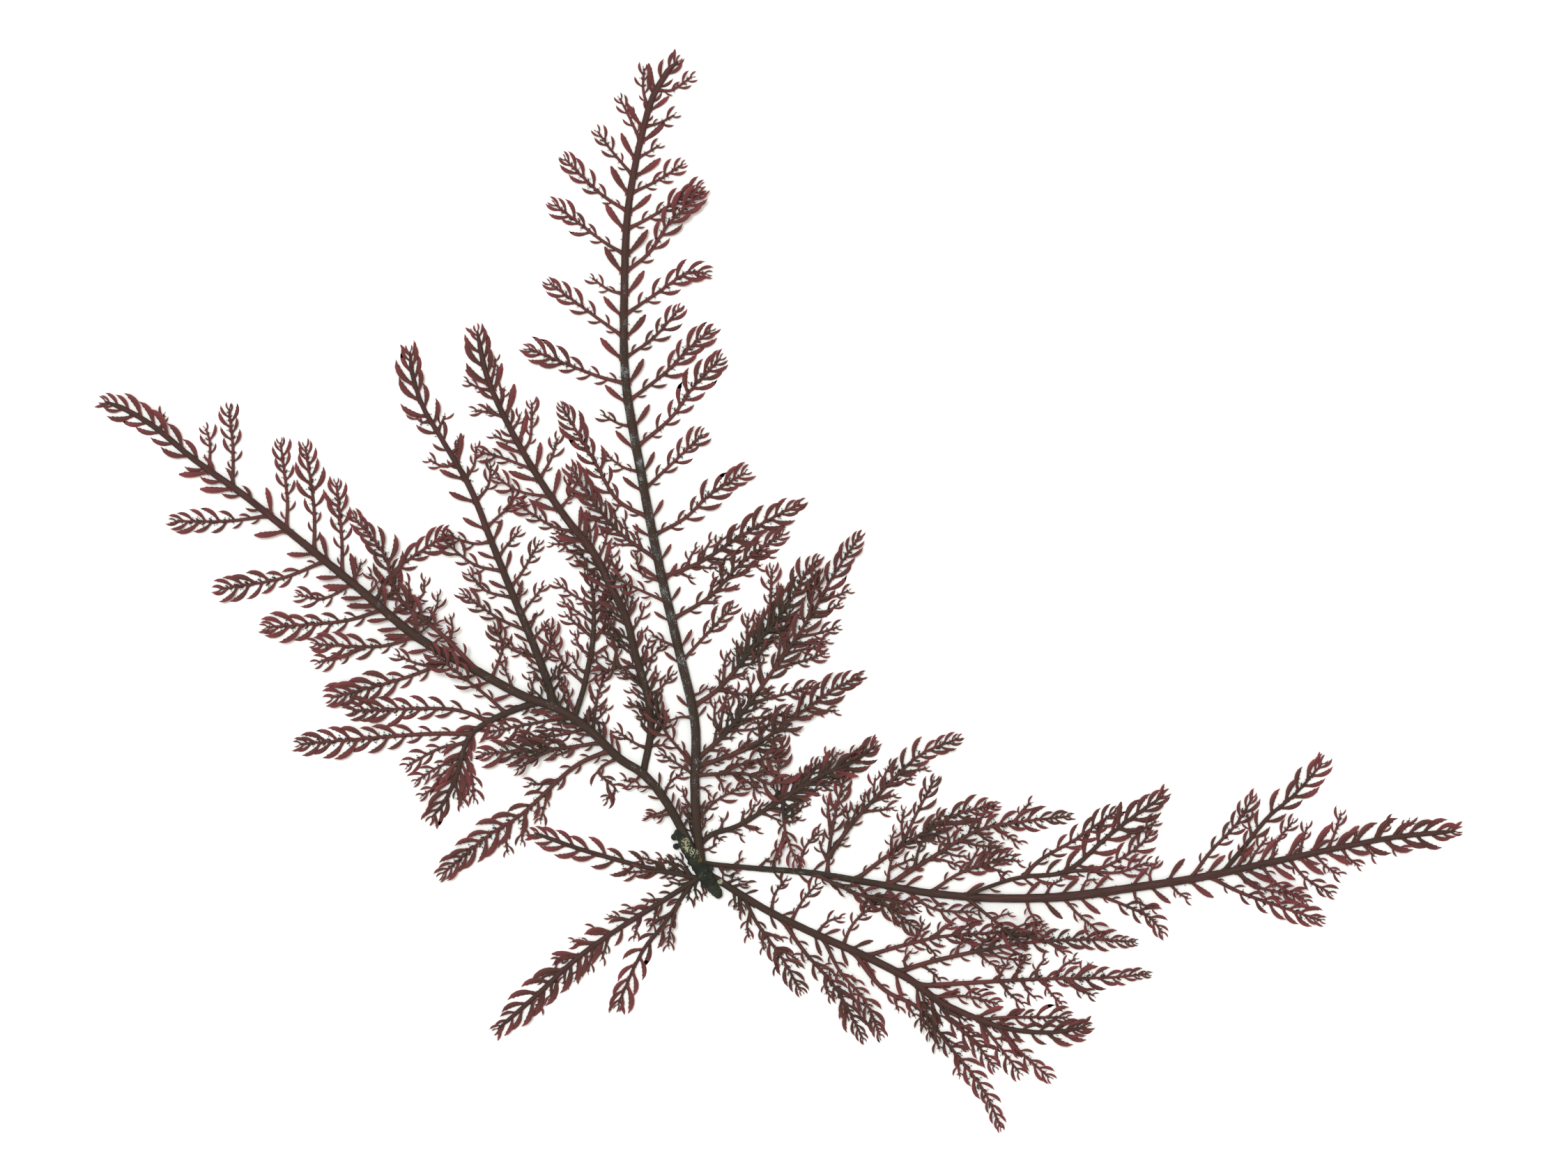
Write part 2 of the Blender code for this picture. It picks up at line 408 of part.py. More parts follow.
LOWER_LEFT_SPRAYS = (
    ((-10, -6), (-11.4, -5.6), (-13.8, -6)),
    ((-13.6, -8.2), (-15.4, -7.4), (-17.8, -7.6)),
    ((-17.2, -10.5), (-19.4, -9.8), (-21.9, -9.3)),
    ((-21.2, -13.1), (-23.2, -12.3), (-25.8, -12.2)),
    ((-25, -15.7), (-27.2, -15), (-30, -14.9)),
    ((-28.6, -18.4), (-31, -18.4), (-34, -20.2)),
    ((-33, -22.4), (-35, -22.3), (-37.2, -23.2)),
    ((-11.2, -6.8), (-11.6, -9), (-12.4, -11.6)),
    ((-15, -9.2), (-15.6, -11.6), (-16.4, -14.3)),
    ((-22, -13.7), (-22.6, -16), (-23.5, -18.9)),
    ((-25.6, -16.2), (-26, -18.8), (-26.6, -21.8)),
    ((-28.4, -18.2), (-28.8, -20.6), (-29.3, -23.4)),
    ((-31.4, -20.9), (-31.8, -22.6), (-31.8, -24.6)),
    ((-34.4, -23.8), (-34.8, -25.6), (-34.8, -27.6)),
    ((-37.2, -26.1), (-37.4, -27.8), (-37.8, -29.6)),
)
SMALL_LOWER_STEMS = (
    ((0.9, 0.9, 0.5),
     ((-6.4, -6.2), (-9.9, -11.3), (-13.7, -16), (-16.3, -20.7), (-18.2, -25), (-19.9, -29))),
)
SMALL_LOWER_SPRAYS = (
    ((-6.5, -6.4), (-8, -10.9), (-8.8, -16)),
    ((-8, -8.6), (-10.6, -9.8), (-12.8, -11.4)),
)
SHORT_LEFT_STEMS = (
    ((0.9, 1.0, 0.5),
     ((-5.4, -1), (-10.3, 0.75), (-19.3, 3), (-28.3, 5.6), (-34.3, 7.7), (-38.4, 9.2))),
)
SHORT_LEFT_SPRAYS = (
    ((-9.4, 0.4), (-14, 0.7), (-18.2, 0.4)),
    ((-10.6, 0.8), (-11.6, 2.8), (-14.8, 3.7)),
)


# Paths


def smooth(points, step):
    """Even stations along a smooth curve through the points."""
    pts = np.array(points, dtype=float)
    pts = np.vstack([2 * pts[0] - pts[1], pts, 2 * pts[-1] - pts[-2]])
    dense = []
    for p0, p1, p2, p3 in zip(pts, pts[1:], pts[2:], pts[3:]):
        for t in np.linspace(0.0, 1.0, 24, endpoint=False):
            dense.append(0.5 * (2 * p1 + (p2 - p0) * t + (2 * p0 - 5 * p1 + 4 * p2 - p3) * t**2
                                + (3 * p1 - p0 - 3 * p2 + p3) * t**3))
    dense.append(pts[-2])
    dense = np.array(dense)
    along = np.concatenate([[0.0], np.cumsum(np.hypot(*np.diff(dense, axis=0).T))])
    count = max(3, int(round(along[-1] / step)) + 1)
    at = np.linspace(0.0, along[-1], count)
    return np.column_stack([np.interp(at, along, dense[:, 0]), np.interp(at, along, dense[:, 1])])


class Axis:
    """One stem or spray: its way over the ground, its widths and its heights."""

    def __init__(self, node, points, widths=None, parent=None, bears=False):
        self.node = node
        self.parent = parent
        self.is_stem = widths is not None
        self.xy = smooth(points, 1.0)
        self.along = np.concatenate([[0.0], np.cumsum(np.hypot(*np.diff(self.xy, axis=0).T))])
        self.length = self.along[-1]
        if self.is_stem:
            spots = (0.0, 0.5 * self.length, self.length)
            self.width = np.interp(self.along, spots, widths)
            self.thick = np.maximum(STEM_LEAST * EDGE_HALF, STEM_ROUND * self.width)
        else:
            least, growth, most = SPRAY_FOOT
            foot = min(most, least + growth * self.length)
            self.width = np.interp(self.along, (0.0, self.length), (foot, SPRAY_TIP))
            self.thick = np.full(len(self.along), BEARING_THICK if bears else BLADE_THICK)
        self.children = []
        self.z = None

    def blade_length(self, s):
        """A spray's blades are longest at two thirds of its length."""
        least, growth, most = LONGEST_BLADE
        return min(most, least + growth * self.length) * np.interp(s / self.length, *BLADE_ALONG)

    def reach(self):
        """Half the width of the strip of ground that the axis covers."""
        if self.is_stem:
            return 0.5 * self.width + SIDE_ROOM
        return 0.5 * self.width + BLADE_SPREAD * self.blade_length(self.along) + SIDE_ROOM

    def core(self):
        """Half the width of the rib, with the feet of its blades."""
        if self.is_stem:
            return 0.5 * self.width + RIB_ROOM
        return 0.5 * self.width + (RIB_ROOM + 0.25 * self.blade_length(self.along))

    def at(self, s):
        """Place, direction, width, thickness and height at a length from the foot."""
        s = min(max(s, 0.0), self.length)
        x = np.interp(s, self.along, self.xy[:, 0])
        y = np.interp(s, self.along, self.xy[:, 1])
        a, b = max(s - 0.6, 0.0), min(s + 0.6, self.length)
        dx = np.interp(b, self.along, self.xy[:, 0]) - np.interp(a, self.along, self.xy[:, 0])
        dy = np.interp(b, self.along, self.xy[:, 1]) - np.interp(a, self.along, self.xy[:, 1])
        size = math.hypot(dx, dy)
        width = np.interp(s, self.along, self.width)
        thick = np.interp(s, self.along, self.thick)
        z = 0.0 if self.z is None else np.interp(s, self.along, self.z)
        return np.array([x, y]), np.array([dx, dy]) / size, width, thick, z

    def nearest(self, point):
        """The length along the axis, and the distance, of the station nearest a point."""
        gap = np.hypot(*(self.xy - np.array(point)).T)
        best = int(np.argmin(gap))
        return self.along[best], gap[best]


# Laying one thing over another


class Ground:
    """The height of what lies at each place: finished fronds whole, the growing one by its ribs."""

    def __init__(self):
        self.shape = (int(FIELD_SIZE[0] / CELL), int(FIELD_SIZE[1] / CELL))
        self.finished = np.zeros(self.shape)
        self.owner = np.full(self.shape, -1)
        self.axes = []
        self.start_frond()

    def start_frond(self):
        """Begin a frond: its own ribs fuse where they touch, so blades may overlap."""
        self.growing = np.zeros(self.shape)
        self.rib_owner = np.full(self.shape, -1)
        self.fresh = []

    def finish_frond(self):
        """Add the whole width of the frond to what the next ones lie on."""
        for axis in self.fresh:
            self.paint(axis, axis.reach(), self.finished, self.owner)
        self.start_frond()

    def strip(self, axis, reach):
        """Grid places under an axis: a row of cells across it at each station."""
        tangent = np.gradient(axis.xy, axis.along, axis=0)
        tangent /= np.hypot(*tangent.T)[:, None]
        normal = np.column_stack([-tangent[:, 1], tangent[:, 0]])
        offset = np.linspace(-1.0, 1.0, ACROSS)[None, :] * reach[:, None]
        spots = axis.xy[:, None, :] + normal[:, None, :] * offset[:, :, None]
        cells = ((spots - np.array(FIELD_LOW)) / CELL).astype(int)
        return cells[:, :, 0], cells[:, :, 1]

    def paint(self, axis, reach, top, owner):
        i, j = self.strip(axis, reach)
        height = (axis.z + 0.5 * axis.thick)[:, None] * np.ones(i.shape)
        np.maximum.at(top, (i, j), height)
        covered = top[i, j] <= height + 1e-9
        owner[i[covered], j[covered]] = axis.number

    def lay(self, axis):
        """Give the axis its heights: level on the ground, and clear over what it crosses."""
        axis.number = len(self.axes)
        bearer = -2 if axis.parent is None else axis.parent.number
        i, j = self.strip(axis, axis.reach())
        others = self.finished[i, j].copy()
        others[(self.owner[i, j] == bearer) & (axis.along < FOOT_FREE)[:, None]] = 0.0
        i, j = self.strip(axis, axis.core())
        own = self.growing[i, j].copy()
        own[(self.rib_owner[i, j] == bearer) & (axis.along < FOOT_FREE)[:, None]] = 0.0
        own[axis.along < RIB_FREE] = 0.0
        floor = np.maximum(others.max(axis=1), own.max(axis=1))
        rest = np.where(floor > 0.0, floor + LAYER_GAP, 0.0) + 0.5 * axis.thick
        if not axis.is_stem:
            rest += UNEVEN * (axis.number * 5 % 7)
        apart = np.abs(axis.along[:, None] - axis.along[None, :])
        z = (rest[None, :] - GENTLE_RISE * apart).max(axis=1)
        if axis.parent is not None and axis.parent.node == axis.node:
            s, _ = axis.parent.nearest(axis.xy[0])
            foot = axis.parent.at(s)[4]
            z = np.maximum(z, foot - GENTLE_RISE * axis.along)
            z = np.minimum(z, foot + STEEP_RISE * axis.along)
        axis.z = z
        self.axes.append(axis)
        self.fresh.append(axis)
        self.paint(axis, axis.core(), self.growing, self.rib_owner)


# Solids


def mesh_object(name, verts, faces, collection):
    """A closed mesh, in metres, from points in millimetres."""
    mesh = bpy.data.meshes.new(name)
    mesh.from_pydata([tuple(MM * float(c) for c in v) for v in verts], [], faces)
    tidy = bmesh.new()
    tidy.from_mesh(mesh)
    bmesh.ops.triangulate(tidy, faces=tidy.faces)
    bmesh.ops.recalc_face_normals(tidy, faces=tidy.faces)
    tidy.to_mesh(mesh)
    tidy.free()
    obj = bpy.data.objects.new(name, mesh)
    collection.objects.link(obj)
    return obj


def bridge(row_a, marks_a, row_b, marks_b):
    """Triangles between two rows of points, each row with its lengths along the axis."""
    faces = []
    k = m = 0
    while k < len(row_a) - 1 or m < len(row_b) - 1:
        if m == len(row_b) - 1 or (k < len(row_a) - 1 and marks_a[k + 1] <= marks_b[m + 1]):
            faces.append((row_a[k], row_a[k + 1], row_b[m]))
            k += 1
        else:
            faces.append((row_a[k], row_b[m + 1], row_b[m]))
            m += 1
    return faces


def spike(a, b, point):
    """The four faces of a blade on an edge from a to b, each with its lower twin after it."""
    return [(a, b, point), (a + 1, b + 1, point), (a, a + 1, point), (b, b + 1, point)]


def stations(axis, end):
    """Lengths along a stem for its sections: even, and closer where it climbs."""
    marks = list(np.linspace(0.0, end, max(3, int(round(end / STEM_STEP)) + 1)))
    fine = axis.along[axis.along < end - 1.0]
    for _ in range(40):
        miss = np.abs(np.interp(fine, marks, np.interp(marks, axis.along, axis.z))
                      - np.interp(fine, axis.along, axis.z))
        room = np.abs(fine[:, None] - np.array(marks)[None, :]).min(axis=1) > SECTION_ROOM
        miss[~room] = 0.0
        if miss.max() < CLIMB_MISS:
            break
        marks = sorted(marks + [fine[np.argmax(miss)]])
    return np.array(marks)


def stem_solid(axis, blades, collection):
    """A stem of lens section, with a thin edge on each side that bears its blades."""
    end = axis.length - STEM_POINT
    regular = stations(axis, end)
    verts, faces = [], []
    sides = []
    for turn in (1, -1):
        mine = sorted((s, length) for s, side, length in blades if side == turn)
        bases = {}
        for s, length in mine:
            half = 0.5 * (BLADE_BASE[0] + BLADE_BASE[1] * length)
            first, last = s - half, s + half
            if first > 0.4 and last < end - 0.4 and (not bases or first > max(bases.values())[0] + 0.2):
                bases[first] = (last, s, length)
        taken = [m for first, (last, _, _) in bases.items() for m in (first, last)]
        marks = [m for m in regular if all(abs(m - t) > BASE_ROOM for t in taken) or m in (0.0, end)]
        marks = sorted(marks + taken)
        row = []
        for m in marks:
            place, ahead, width, _, z = axis.at(m)
            x, y = place + turn * np.array([-ahead[1], ahead[0]]) * 0.5 * width
            row.append(len(verts))
            verts += [(x, y, z + EDGE_HALF), (x, y, z - EDGE_HALF)]
        for k in range(len(row) - 1):
            a, b = row[k], row[k + 1]
            if marks[k] not in bases:
                faces.append((a, a + 1, b + 1, b))
                continue
            _, s, length = bases[marks[k]]
            place, ahead, width, _, _ = axis.at(s)
            side = turn * np.array([-ahead[1], ahead[0]])
            x, y = place + length * (math.cos(STEM_BLADE_ANGLE) * ahead + math.sin(STEM_BLADE_ANGLE) * side)
            verts.append((x, y, axis.at(s + 0.75 * length)[4]))
            faces += spike(a, b, len(verts) - 1)
        sides.append((row, marks))
    ridge = []
    for m in regular:
        (x, y), _, _, thick, z = axis.at(m)
        ridge.append(len(verts))
        verts += [(x, y, z + 0.5 * thick), (x, y, z - 0.5 * thick)]
    for row, marks in sides:
        faces += bridge(row, marks, ridge, list(regular))
        faces += bridge([v + 1 for v in row], marks, [v + 1 for v in ridge], list(regular))
    (left, _), (right, _) = sides
    faces.append((left[0], ridge[0], right[0], right[0] + 1, ridge[0] + 1, left[0] + 1))
    (x, y), _, _, _, z = axis.at(axis.length)
    verts.append((x, y, z))
    ring = (left[-1], ridge[-1], right[-1], right[-1] + 1, ridge[-1] + 1, left[-1] + 1)
    for m in range(6):
        faces.append((ring[m], ring[(m + 1) % 6], len(verts) - 1))
    return mesh_object("stem", verts, faces, collection)


def spray_solid(axis, collection):
    """A flat rib whose two edges are cut into forward-pointing blades, out of step."""
    pitch = PITCH_FOOT + PITCH_GROWTH * axis.length
    bare = BARE_FOOT[0] + BARE_FOOT[1] * axis.length
    point = 0.5 * axis.blade_length(axis.length)
    verts, faces, sides = [], [], []
    for turn, shift in ((1, 0.0), (-1, 0.5)):
        marks = [0.0]
        s = bare + shift * pitch
        while s < axis.length - point - 0.4 * pitch:
            marks.append(s)
            s += pitch
        marks.append(axis.length - point)
        row = []
        for s in marks:
            place, ahead, width, thick, z = axis.at(s)
            x, y = place + turn * np.array([-ahead[1], ahead[0]]) * 0.5 * width
            row.append(len(verts))
            verts += [(x, y, z + 0.5 * thick), (x, y, z - 0.5 * thick)]
        taken = [s for s, child in axis.children if branch_side(axis, s, child) == turn]
        for k in range(len(row) - 1):
            a, b = row[k], row[k + 1]
            if k == 0 or any(marks[k] - 0.3 < s < marks[k + 1] + 0.3 for s in taken):
                faces.append((a, a + 1, b + 1, b))
                continue
            base = marks[k] + 0.35 * (marks[k + 1] - marks[k])
            length = axis.blade_length(marks[k])
            place, ahead, width, _, _ = axis.at(base)
            side = turn * np.array([-ahead[1], ahead[0]])
            x, y = (place + side * (0.5 * width + length * math.sin(SPRAY_ANGLE))
                    + ahead * length * math.cos(SPRAY_ANGLE))
            verts.append((x, y, axis.at(base + length * math.cos(SPRAY_ANGLE))[4]))
            faces += spike(a, b, len(verts) - 1)
        sides.append((row, marks))
    (left, marks_left), (right, marks_right) = sides
    faces += bridge(left, marks_left, right, marks_right)
    faces += bridge([v + 1 for v in left], marks_left, [v + 1 for v in right], marks_right)
    faces.append((left[0], left[0] + 1, right[0] + 1, right[0]))
    (x, y), _, _, _, z = axis.at(axis.length)
    verts.append((x, y, z))
    faces += spike(left[-1], right[-1], len(verts) - 1)
    return mesh_object("spray", verts, faces, collection)


# Growing a frond


def branch_side(axis, s, child):
    """Which side of the axis a child grows to: 1 for left, -1 for right."""
    place, ahead, _, _, _ = axis.at(s)
    away = child.at(min(3.0, child.length))[0] - place
    return 1 if ahead[0] * away[1] - ahead[1] * away[0] > 0 else -1


def bearing_sprays(node, stems, sprays):
    """The numbers of the sprays that other sprays start on."""
    bearing = set()
    trial = list(stems)
    for points in sprays:
        near = min(range(len(trial)), key=lambda n: trial[n].nearest(points[0])[1])
        if near >= len(stems):
            bearing.add(near - len(stems))
        trial.append(Axis(node, points))
    return bearing


def grow(node, stems, sprays, ground, bearer=None):
    """Lay a frond's stems and sprays on the ground, and return them."""
    axes = []
    for widths, points in stems:
        parent = bearer
        if axes:
            parent = min(axes, key=lambda a: a.nearest(points[0])[1])
            foot = parent.at(parent.nearest(points[0])[0])[0]
            points = (tuple(foot),) + tuple(points[1:])
        axis = Axis(node, points, widths, parent)
        ground.lay(axis)
        axes.append(axis)
    bearing = bearing_sprays(node, axes, sprays)
    for k, points in enumerate(sprays):
        parent = min(axes, key=lambda a: a.nearest(points[0])[1])
        s, _ = parent.nearest(points[0])
        foot = parent.at(s)[0]
        axis = Axis(node, (tuple(foot),) + tuple(points[1:]), None, parent, k in bearing)
        parent.children.append((s, axis))
        ground.lay(axis)
        axes.append(axis)
    ground.finish_frond()
    return axes


def stem_blades(stem, dice):
    """Blades on a stem: one opposite each spray, and a few more to its tip."""
    spots = []
    for s, child in stem.children:
        if child.length > BEARS_BLADE and 4.0 < s < stem.length - STEM_POINT:
            spots.append((s, -branch_side(stem, s, child)))
    last = max([s for s, _ in stem.children] + [0.5 * stem.length])
    sign = spots[-1][1] if spots else 1
    s = last + STEM_BLADE_PITCH
    while s < stem.length - STEM_POINT - 0.8:
        spots.append((s, sign))
        sign = -sign
        s += STEM_BLADE_PITCH
    blades = []
    for s, side in spots:
        length = np.interp(s / stem.length, *STEM_BLADE_ALONG)
        length *= min(1.0, 0.35 + stem.length / 120.0) * dice.uniform(0.9, 1.1)
        blades.append((s, side, length))
    return blades


def frond(node, stems, sprays, ground, bearer=None):
    """One frond as one solid: its stems, joined with every spray and blade on them."""
    dice = random.Random(SEED)
    axes = grow(node, stems, sprays, ground, bearer)
    parts = bpy.data.collections.new(node + "_parts")
    bpy.context.scene.collection.children.link(parts)
    main = stem_solid(axes[0], stem_blades(axes[0], dice), WHOLE)
    main.name = node
    main.data.name = node
    for axis in axes[1:]:
        if axis.is_stem:
            stem_solid(axis, stem_blades(axis, dice), parts)
        else:
            spray_solid(axis, parts)
    join(main, parts)
    main.data.materials.append(RED)
    return axes


def bodies(mesh):
    """The vertices of each body of a mesh that hangs together by its edges."""
    seen = set()
    found = []
    for first in mesh.verts:
        if first in seen:
            continue
        seen.add(first)
        body = [first]
        for vert in body:
            for edge in vert.link_edges:
                other = edge.other_vert(vert)
                if other not in seen:
                    seen.add(other)
                    body.append(other)
        found.append(body)
    return found


def join(main, parts):
    """Fuse a collection of closed pieces into one body, and remove them.

    Pockets that the blades enclose, and slivers, are left out.
    """
    union = main.modifiers.new("union", "BOOLEAN")
    union.operation = "UNION"
    union.operand_type = "COLLECTION"
    union.collection = parts
    union.solver = "MANIFOLD"
    graph = bpy.context.evaluated_depsgraph_get()
    mesh = bpy.data.meshes.new_from_object(main.evaluated_get(graph))
    main.modifiers.clear()
    main.data = mesh
    clean = bmesh.new()
    clean.from_mesh(mesh)
    bmesh.ops.remove_doubles(clean, verts=clean.verts, dist=WELD)
    kept = set(max(bodies(clean), key=len))
    loose = [vert for vert in clean.verts if vert not in kept]
    bmesh.ops.delete(clean, geom=loose, context="VERTS")
    clean.to_mesh(mesh)
    clean.free()
    lean = main.modifiers.new("lean", "DECIMATE")
    lean.ratio = KEPT_SHARE
    graph = bpy.context.evaluated_depsgraph_get()
    main.data = bpy.data.meshes.new_from_object(main.evaluated_get(graph))
    main.modifiers.clear()
    for piece in list(parts.objects):
        bpy.data.objects.remove(piece)
    bpy.data.collections.remove(parts)


def lump(stations, collection):
    """A rounded lump with a flat underside: (x, y, half width, height) from end to end."""
    verts, faces = [], []
    row = np.array(stations, dtype=float)
    tangent = np.gradient(row[:, :2], axis=0)
    tangent /= np.hypot(*tangent.T)[:, None]
    turns = np.radians(np.linspace(0.0, 180.0, LUMP_SIDES))
    for (x, y, half, height), (dx, dy) in zip(row, tangent):
        for turn in turns:
            reach = half * math.cos(turn)
            verts.append((x - dy * reach, y + dx * reach, height * math.sin(turn)))
    for k in range(len(row) - 1):
        for m in range(LUMP_SIDES):
            a, b = k * LUMP_SIDES + m, k * LUMP_SIDES + (m + 1) % LUMP_SIDES
            faces.append((a, b, b + LUMP_SIDES, a + LUMP_SIDES))
    faces.append(tuple(range(LUMP_SIDES)))
    faces.append(tuple(range(len(verts) - LUMP_SIDES, len(verts))))
    return mesh_object("lump", verts, faces, collection)


def holdfast():
    """The dark lump that the fronds spread from; its flat underside rests on the surface."""
    parts = bpy.data.collections.new("holdfast_parts")
    bpy.context.scene.collection.children.link(parts)
    main = lump(HOLDFAST_BODY, WHOLE)
    main.name = "holdfast"
    main.data.name = "holdfast"
    for x, y, half, height in HOLDFAST_KNOBS:
        lump([(x + u * half, y, w * half, h * height) for u, w, h in KNOB], parts)
    join(main, parts)
    main.data.materials.append(DARK)


def material(name, colour, roughness):
    """A plain finish; the slot on each node carries its name."""
    mat = bpy.data.materials.new(name)
    mat.use_nodes = True
    shader = mat.node_tree.nodes["Principled BSDF"]
    shader.inputs["Base Color"].default_value = (*colour, 1.0)
    shader.inputs["Roughness"].default_value = roughness
    return mat


# The plant

for old in list(bpy.data.objects):
    bpy.data.objects.remove(old)
WHOLE = bpy.data.collections.new("Ptilota asplenioides")
bpy.context.scene.collection.children.link(WHOLE)
RED = material("seaweed_red", (0.11, 0.018, 0.022), 0.6)
DARK = material("holdfast_dark", (0.018, 0.018, 0.014), 0.7)

FRONDS = (
    ("lower_right_frond", LOWER_RIGHT_STEMS, LOWER_RIGHT_SPRAYS, None),
    ("right_frond", RIGHT_STEMS, RIGHT_SPRAYS, None),
    ("left_frond", LEFT_STEMS, LEFT_SPRAYS, None),
    ("outer_left_frond", OUTER_LEFT_STEMS, OUTER_LEFT_SPRAYS, "left_frond"),
    ("middle_left_frond", MIDDLE_LEFT_STEMS, MIDDLE_LEFT_SPRAYS, "left_frond"),
    ("inner_left_frond", INNER_LEFT_STEMS, INNER_LEFT_SPRAYS, "left_frond"),
    ("short_left_frond", SHORT_LEFT_STEMS, SHORT_LEFT_SPRAYS, None),
    ("lower_left_frond", LOWER_LEFT_STEMS, LOWER_LEFT_SPRAYS, None),
    ("small_lower_frond", SMALL_LOWER_STEMS, SMALL_LOWER_SPRAYS, "lower_left_frond"),
    ("low_right_branch", LOW_RIGHT_STEMS, LOW_RIGHT_SPRAYS, None),
    ("crown_frond", CROWN_STEMS, CROWN_SPRAYS, None),
)
holdfast()
GROUND = Ground()
GROWN = {}
for node, stems, sprays, bearer in FRONDS:
    bearing = GROWN[bearer][0] if bearer else None
    GROWN[node] = frond(node, stems, sprays, GROUND, bearing)
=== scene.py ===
# %% [markdown]
# # A pressed red seaweed, leaf by leaf
#
# The object is a dried plant of the red seaweed Ptilota (Neoptilota) asplenioides,
# lying flat on a white surface. From a dark holdfast spread several fronds. Each has
# a compressed stem, and along the stem a single toothed blade on one side faces a
# leafy spray on the other, changing sides from node to node.
#
# The lesson grows it the way the plant does: courses first, then skin over the
# courses, then blades set out along them by Geometry Nodes, then the finishes.

# %% Load the solid model
import json
import math
import random

import bmesh
import bpy
import numpy as np
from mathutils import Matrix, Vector, noise
from mathutils.bvhtree import BVHTree

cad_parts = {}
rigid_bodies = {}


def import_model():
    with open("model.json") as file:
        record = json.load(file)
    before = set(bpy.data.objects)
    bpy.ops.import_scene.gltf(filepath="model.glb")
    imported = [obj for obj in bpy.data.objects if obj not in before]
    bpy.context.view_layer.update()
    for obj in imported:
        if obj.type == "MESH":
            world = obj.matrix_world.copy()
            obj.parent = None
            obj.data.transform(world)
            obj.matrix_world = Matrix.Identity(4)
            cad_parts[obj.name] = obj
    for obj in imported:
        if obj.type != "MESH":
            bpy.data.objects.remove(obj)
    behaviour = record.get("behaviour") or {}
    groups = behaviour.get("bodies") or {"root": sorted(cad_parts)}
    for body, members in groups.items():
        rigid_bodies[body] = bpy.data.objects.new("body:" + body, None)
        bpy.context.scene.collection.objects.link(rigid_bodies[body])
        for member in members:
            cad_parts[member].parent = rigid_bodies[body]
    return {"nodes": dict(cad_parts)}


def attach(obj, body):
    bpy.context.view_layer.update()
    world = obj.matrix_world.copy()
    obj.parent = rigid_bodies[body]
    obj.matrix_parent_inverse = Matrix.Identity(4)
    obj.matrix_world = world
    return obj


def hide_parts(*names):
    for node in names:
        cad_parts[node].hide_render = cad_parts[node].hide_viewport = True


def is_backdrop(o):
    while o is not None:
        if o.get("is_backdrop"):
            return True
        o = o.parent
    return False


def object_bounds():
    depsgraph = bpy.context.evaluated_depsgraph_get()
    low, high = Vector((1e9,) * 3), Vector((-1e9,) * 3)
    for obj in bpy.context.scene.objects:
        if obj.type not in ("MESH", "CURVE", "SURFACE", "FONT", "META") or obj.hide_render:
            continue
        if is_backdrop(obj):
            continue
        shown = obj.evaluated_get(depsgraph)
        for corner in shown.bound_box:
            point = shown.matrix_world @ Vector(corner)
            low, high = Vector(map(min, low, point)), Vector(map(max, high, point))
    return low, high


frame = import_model()
cad_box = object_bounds()
MM = 0.001
SEED = 7
print("solid model:", len(frame["nodes"]), "nodes,",
      [round(1000 * (b - a), 1) for a, b in zip(*cad_box)], "mm")

# %% [markdown]
# ## The camera
#
# The plant was laid on a scanner or under a copy stand, so the view is straight down
# and almost without perspective. A long lens far away gives that look. The sheet
# that the picture covers is 348.75 mm wide, and the lens and the distance follow
# from that one length.

# %% Camera
VIEW_WIDTH = 348.75 * MM
VIEW_CENTRE = (17.05 * MM, 66.5 * MM)
LENS = 120.0
SENSOR = 36.0
PLANT_HEIGHT = 1.0 * MM
camera = bpy.data.objects.new("camera", bpy.data.cameras.new("camera"))
bpy.context.scene.collection.objects.link(camera)
camera.data.lens = LENS
camera.data.sensor_width = SENSOR
camera.data.clip_start = 0.05
camera.data.clip_end = 20.0
camera.location = (*VIEW_CENTRE, VIEW_WIDTH * LENS / SENSOR + PLANT_HEIGHT)
bpy.context.scene.camera = camera
print("camera", round(camera.location.z, 3), "m above the sheet")

# %% [markdown]
# ## The sheet
#
# The plant lies on plain white. One large matt square does for that. It lies a hair
# lower than the plant, so that the two never share one plane and flicker.

# %% Sheet
FLOOR_DROP = 0.02 * MM
FLOOR_REACH = 4.0


def plain_object(name, data):
    """A new object at the origin, in the scene."""
    made = bpy.data.objects.new(name, data)
    bpy.context.scene.collection.objects.link(made)
    return made


floor_mesh = bpy.data.meshes.new("floor")
floor_corners = [(x * FLOOR_REACH, y * FLOOR_REACH, -FLOOR_DROP)
                 for x, y in ((-1, -1), (1, -1), (1, 1), (-1, 1))]
floor_mesh.from_pydata(floor_corners, [], [(0, 1, 2, 3)])
floor = plain_object("floor", floor_mesh)
white = bpy.data.materials.new("white_sheet")
white.use_nodes = True
sheet_shader = white.node_tree.nodes["Principled BSDF"]
sheet_shader.inputs["Base Color"].default_value = (0.93, 0.925, 0.915, 1.0)
sheet_shader.inputs["Roughness"].default_value = 0.9
sheet_shader.inputs["Specular IOR Level"].default_value = 0.1
floor.data.materials.append(white)
floor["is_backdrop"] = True
print("sheet", 2 * FLOOR_REACH, "m wide")

# %% [markdown]
# ## Light
#
# The shadows are short and warm, on the lower right of each edge. So the sky is
# bright and a little warm, which fills the shadows, and one soft sun from the upper
# left, a little cool, makes up the white of the sheet. The Standard view keeps the
# dark reds as deep as in the picture.

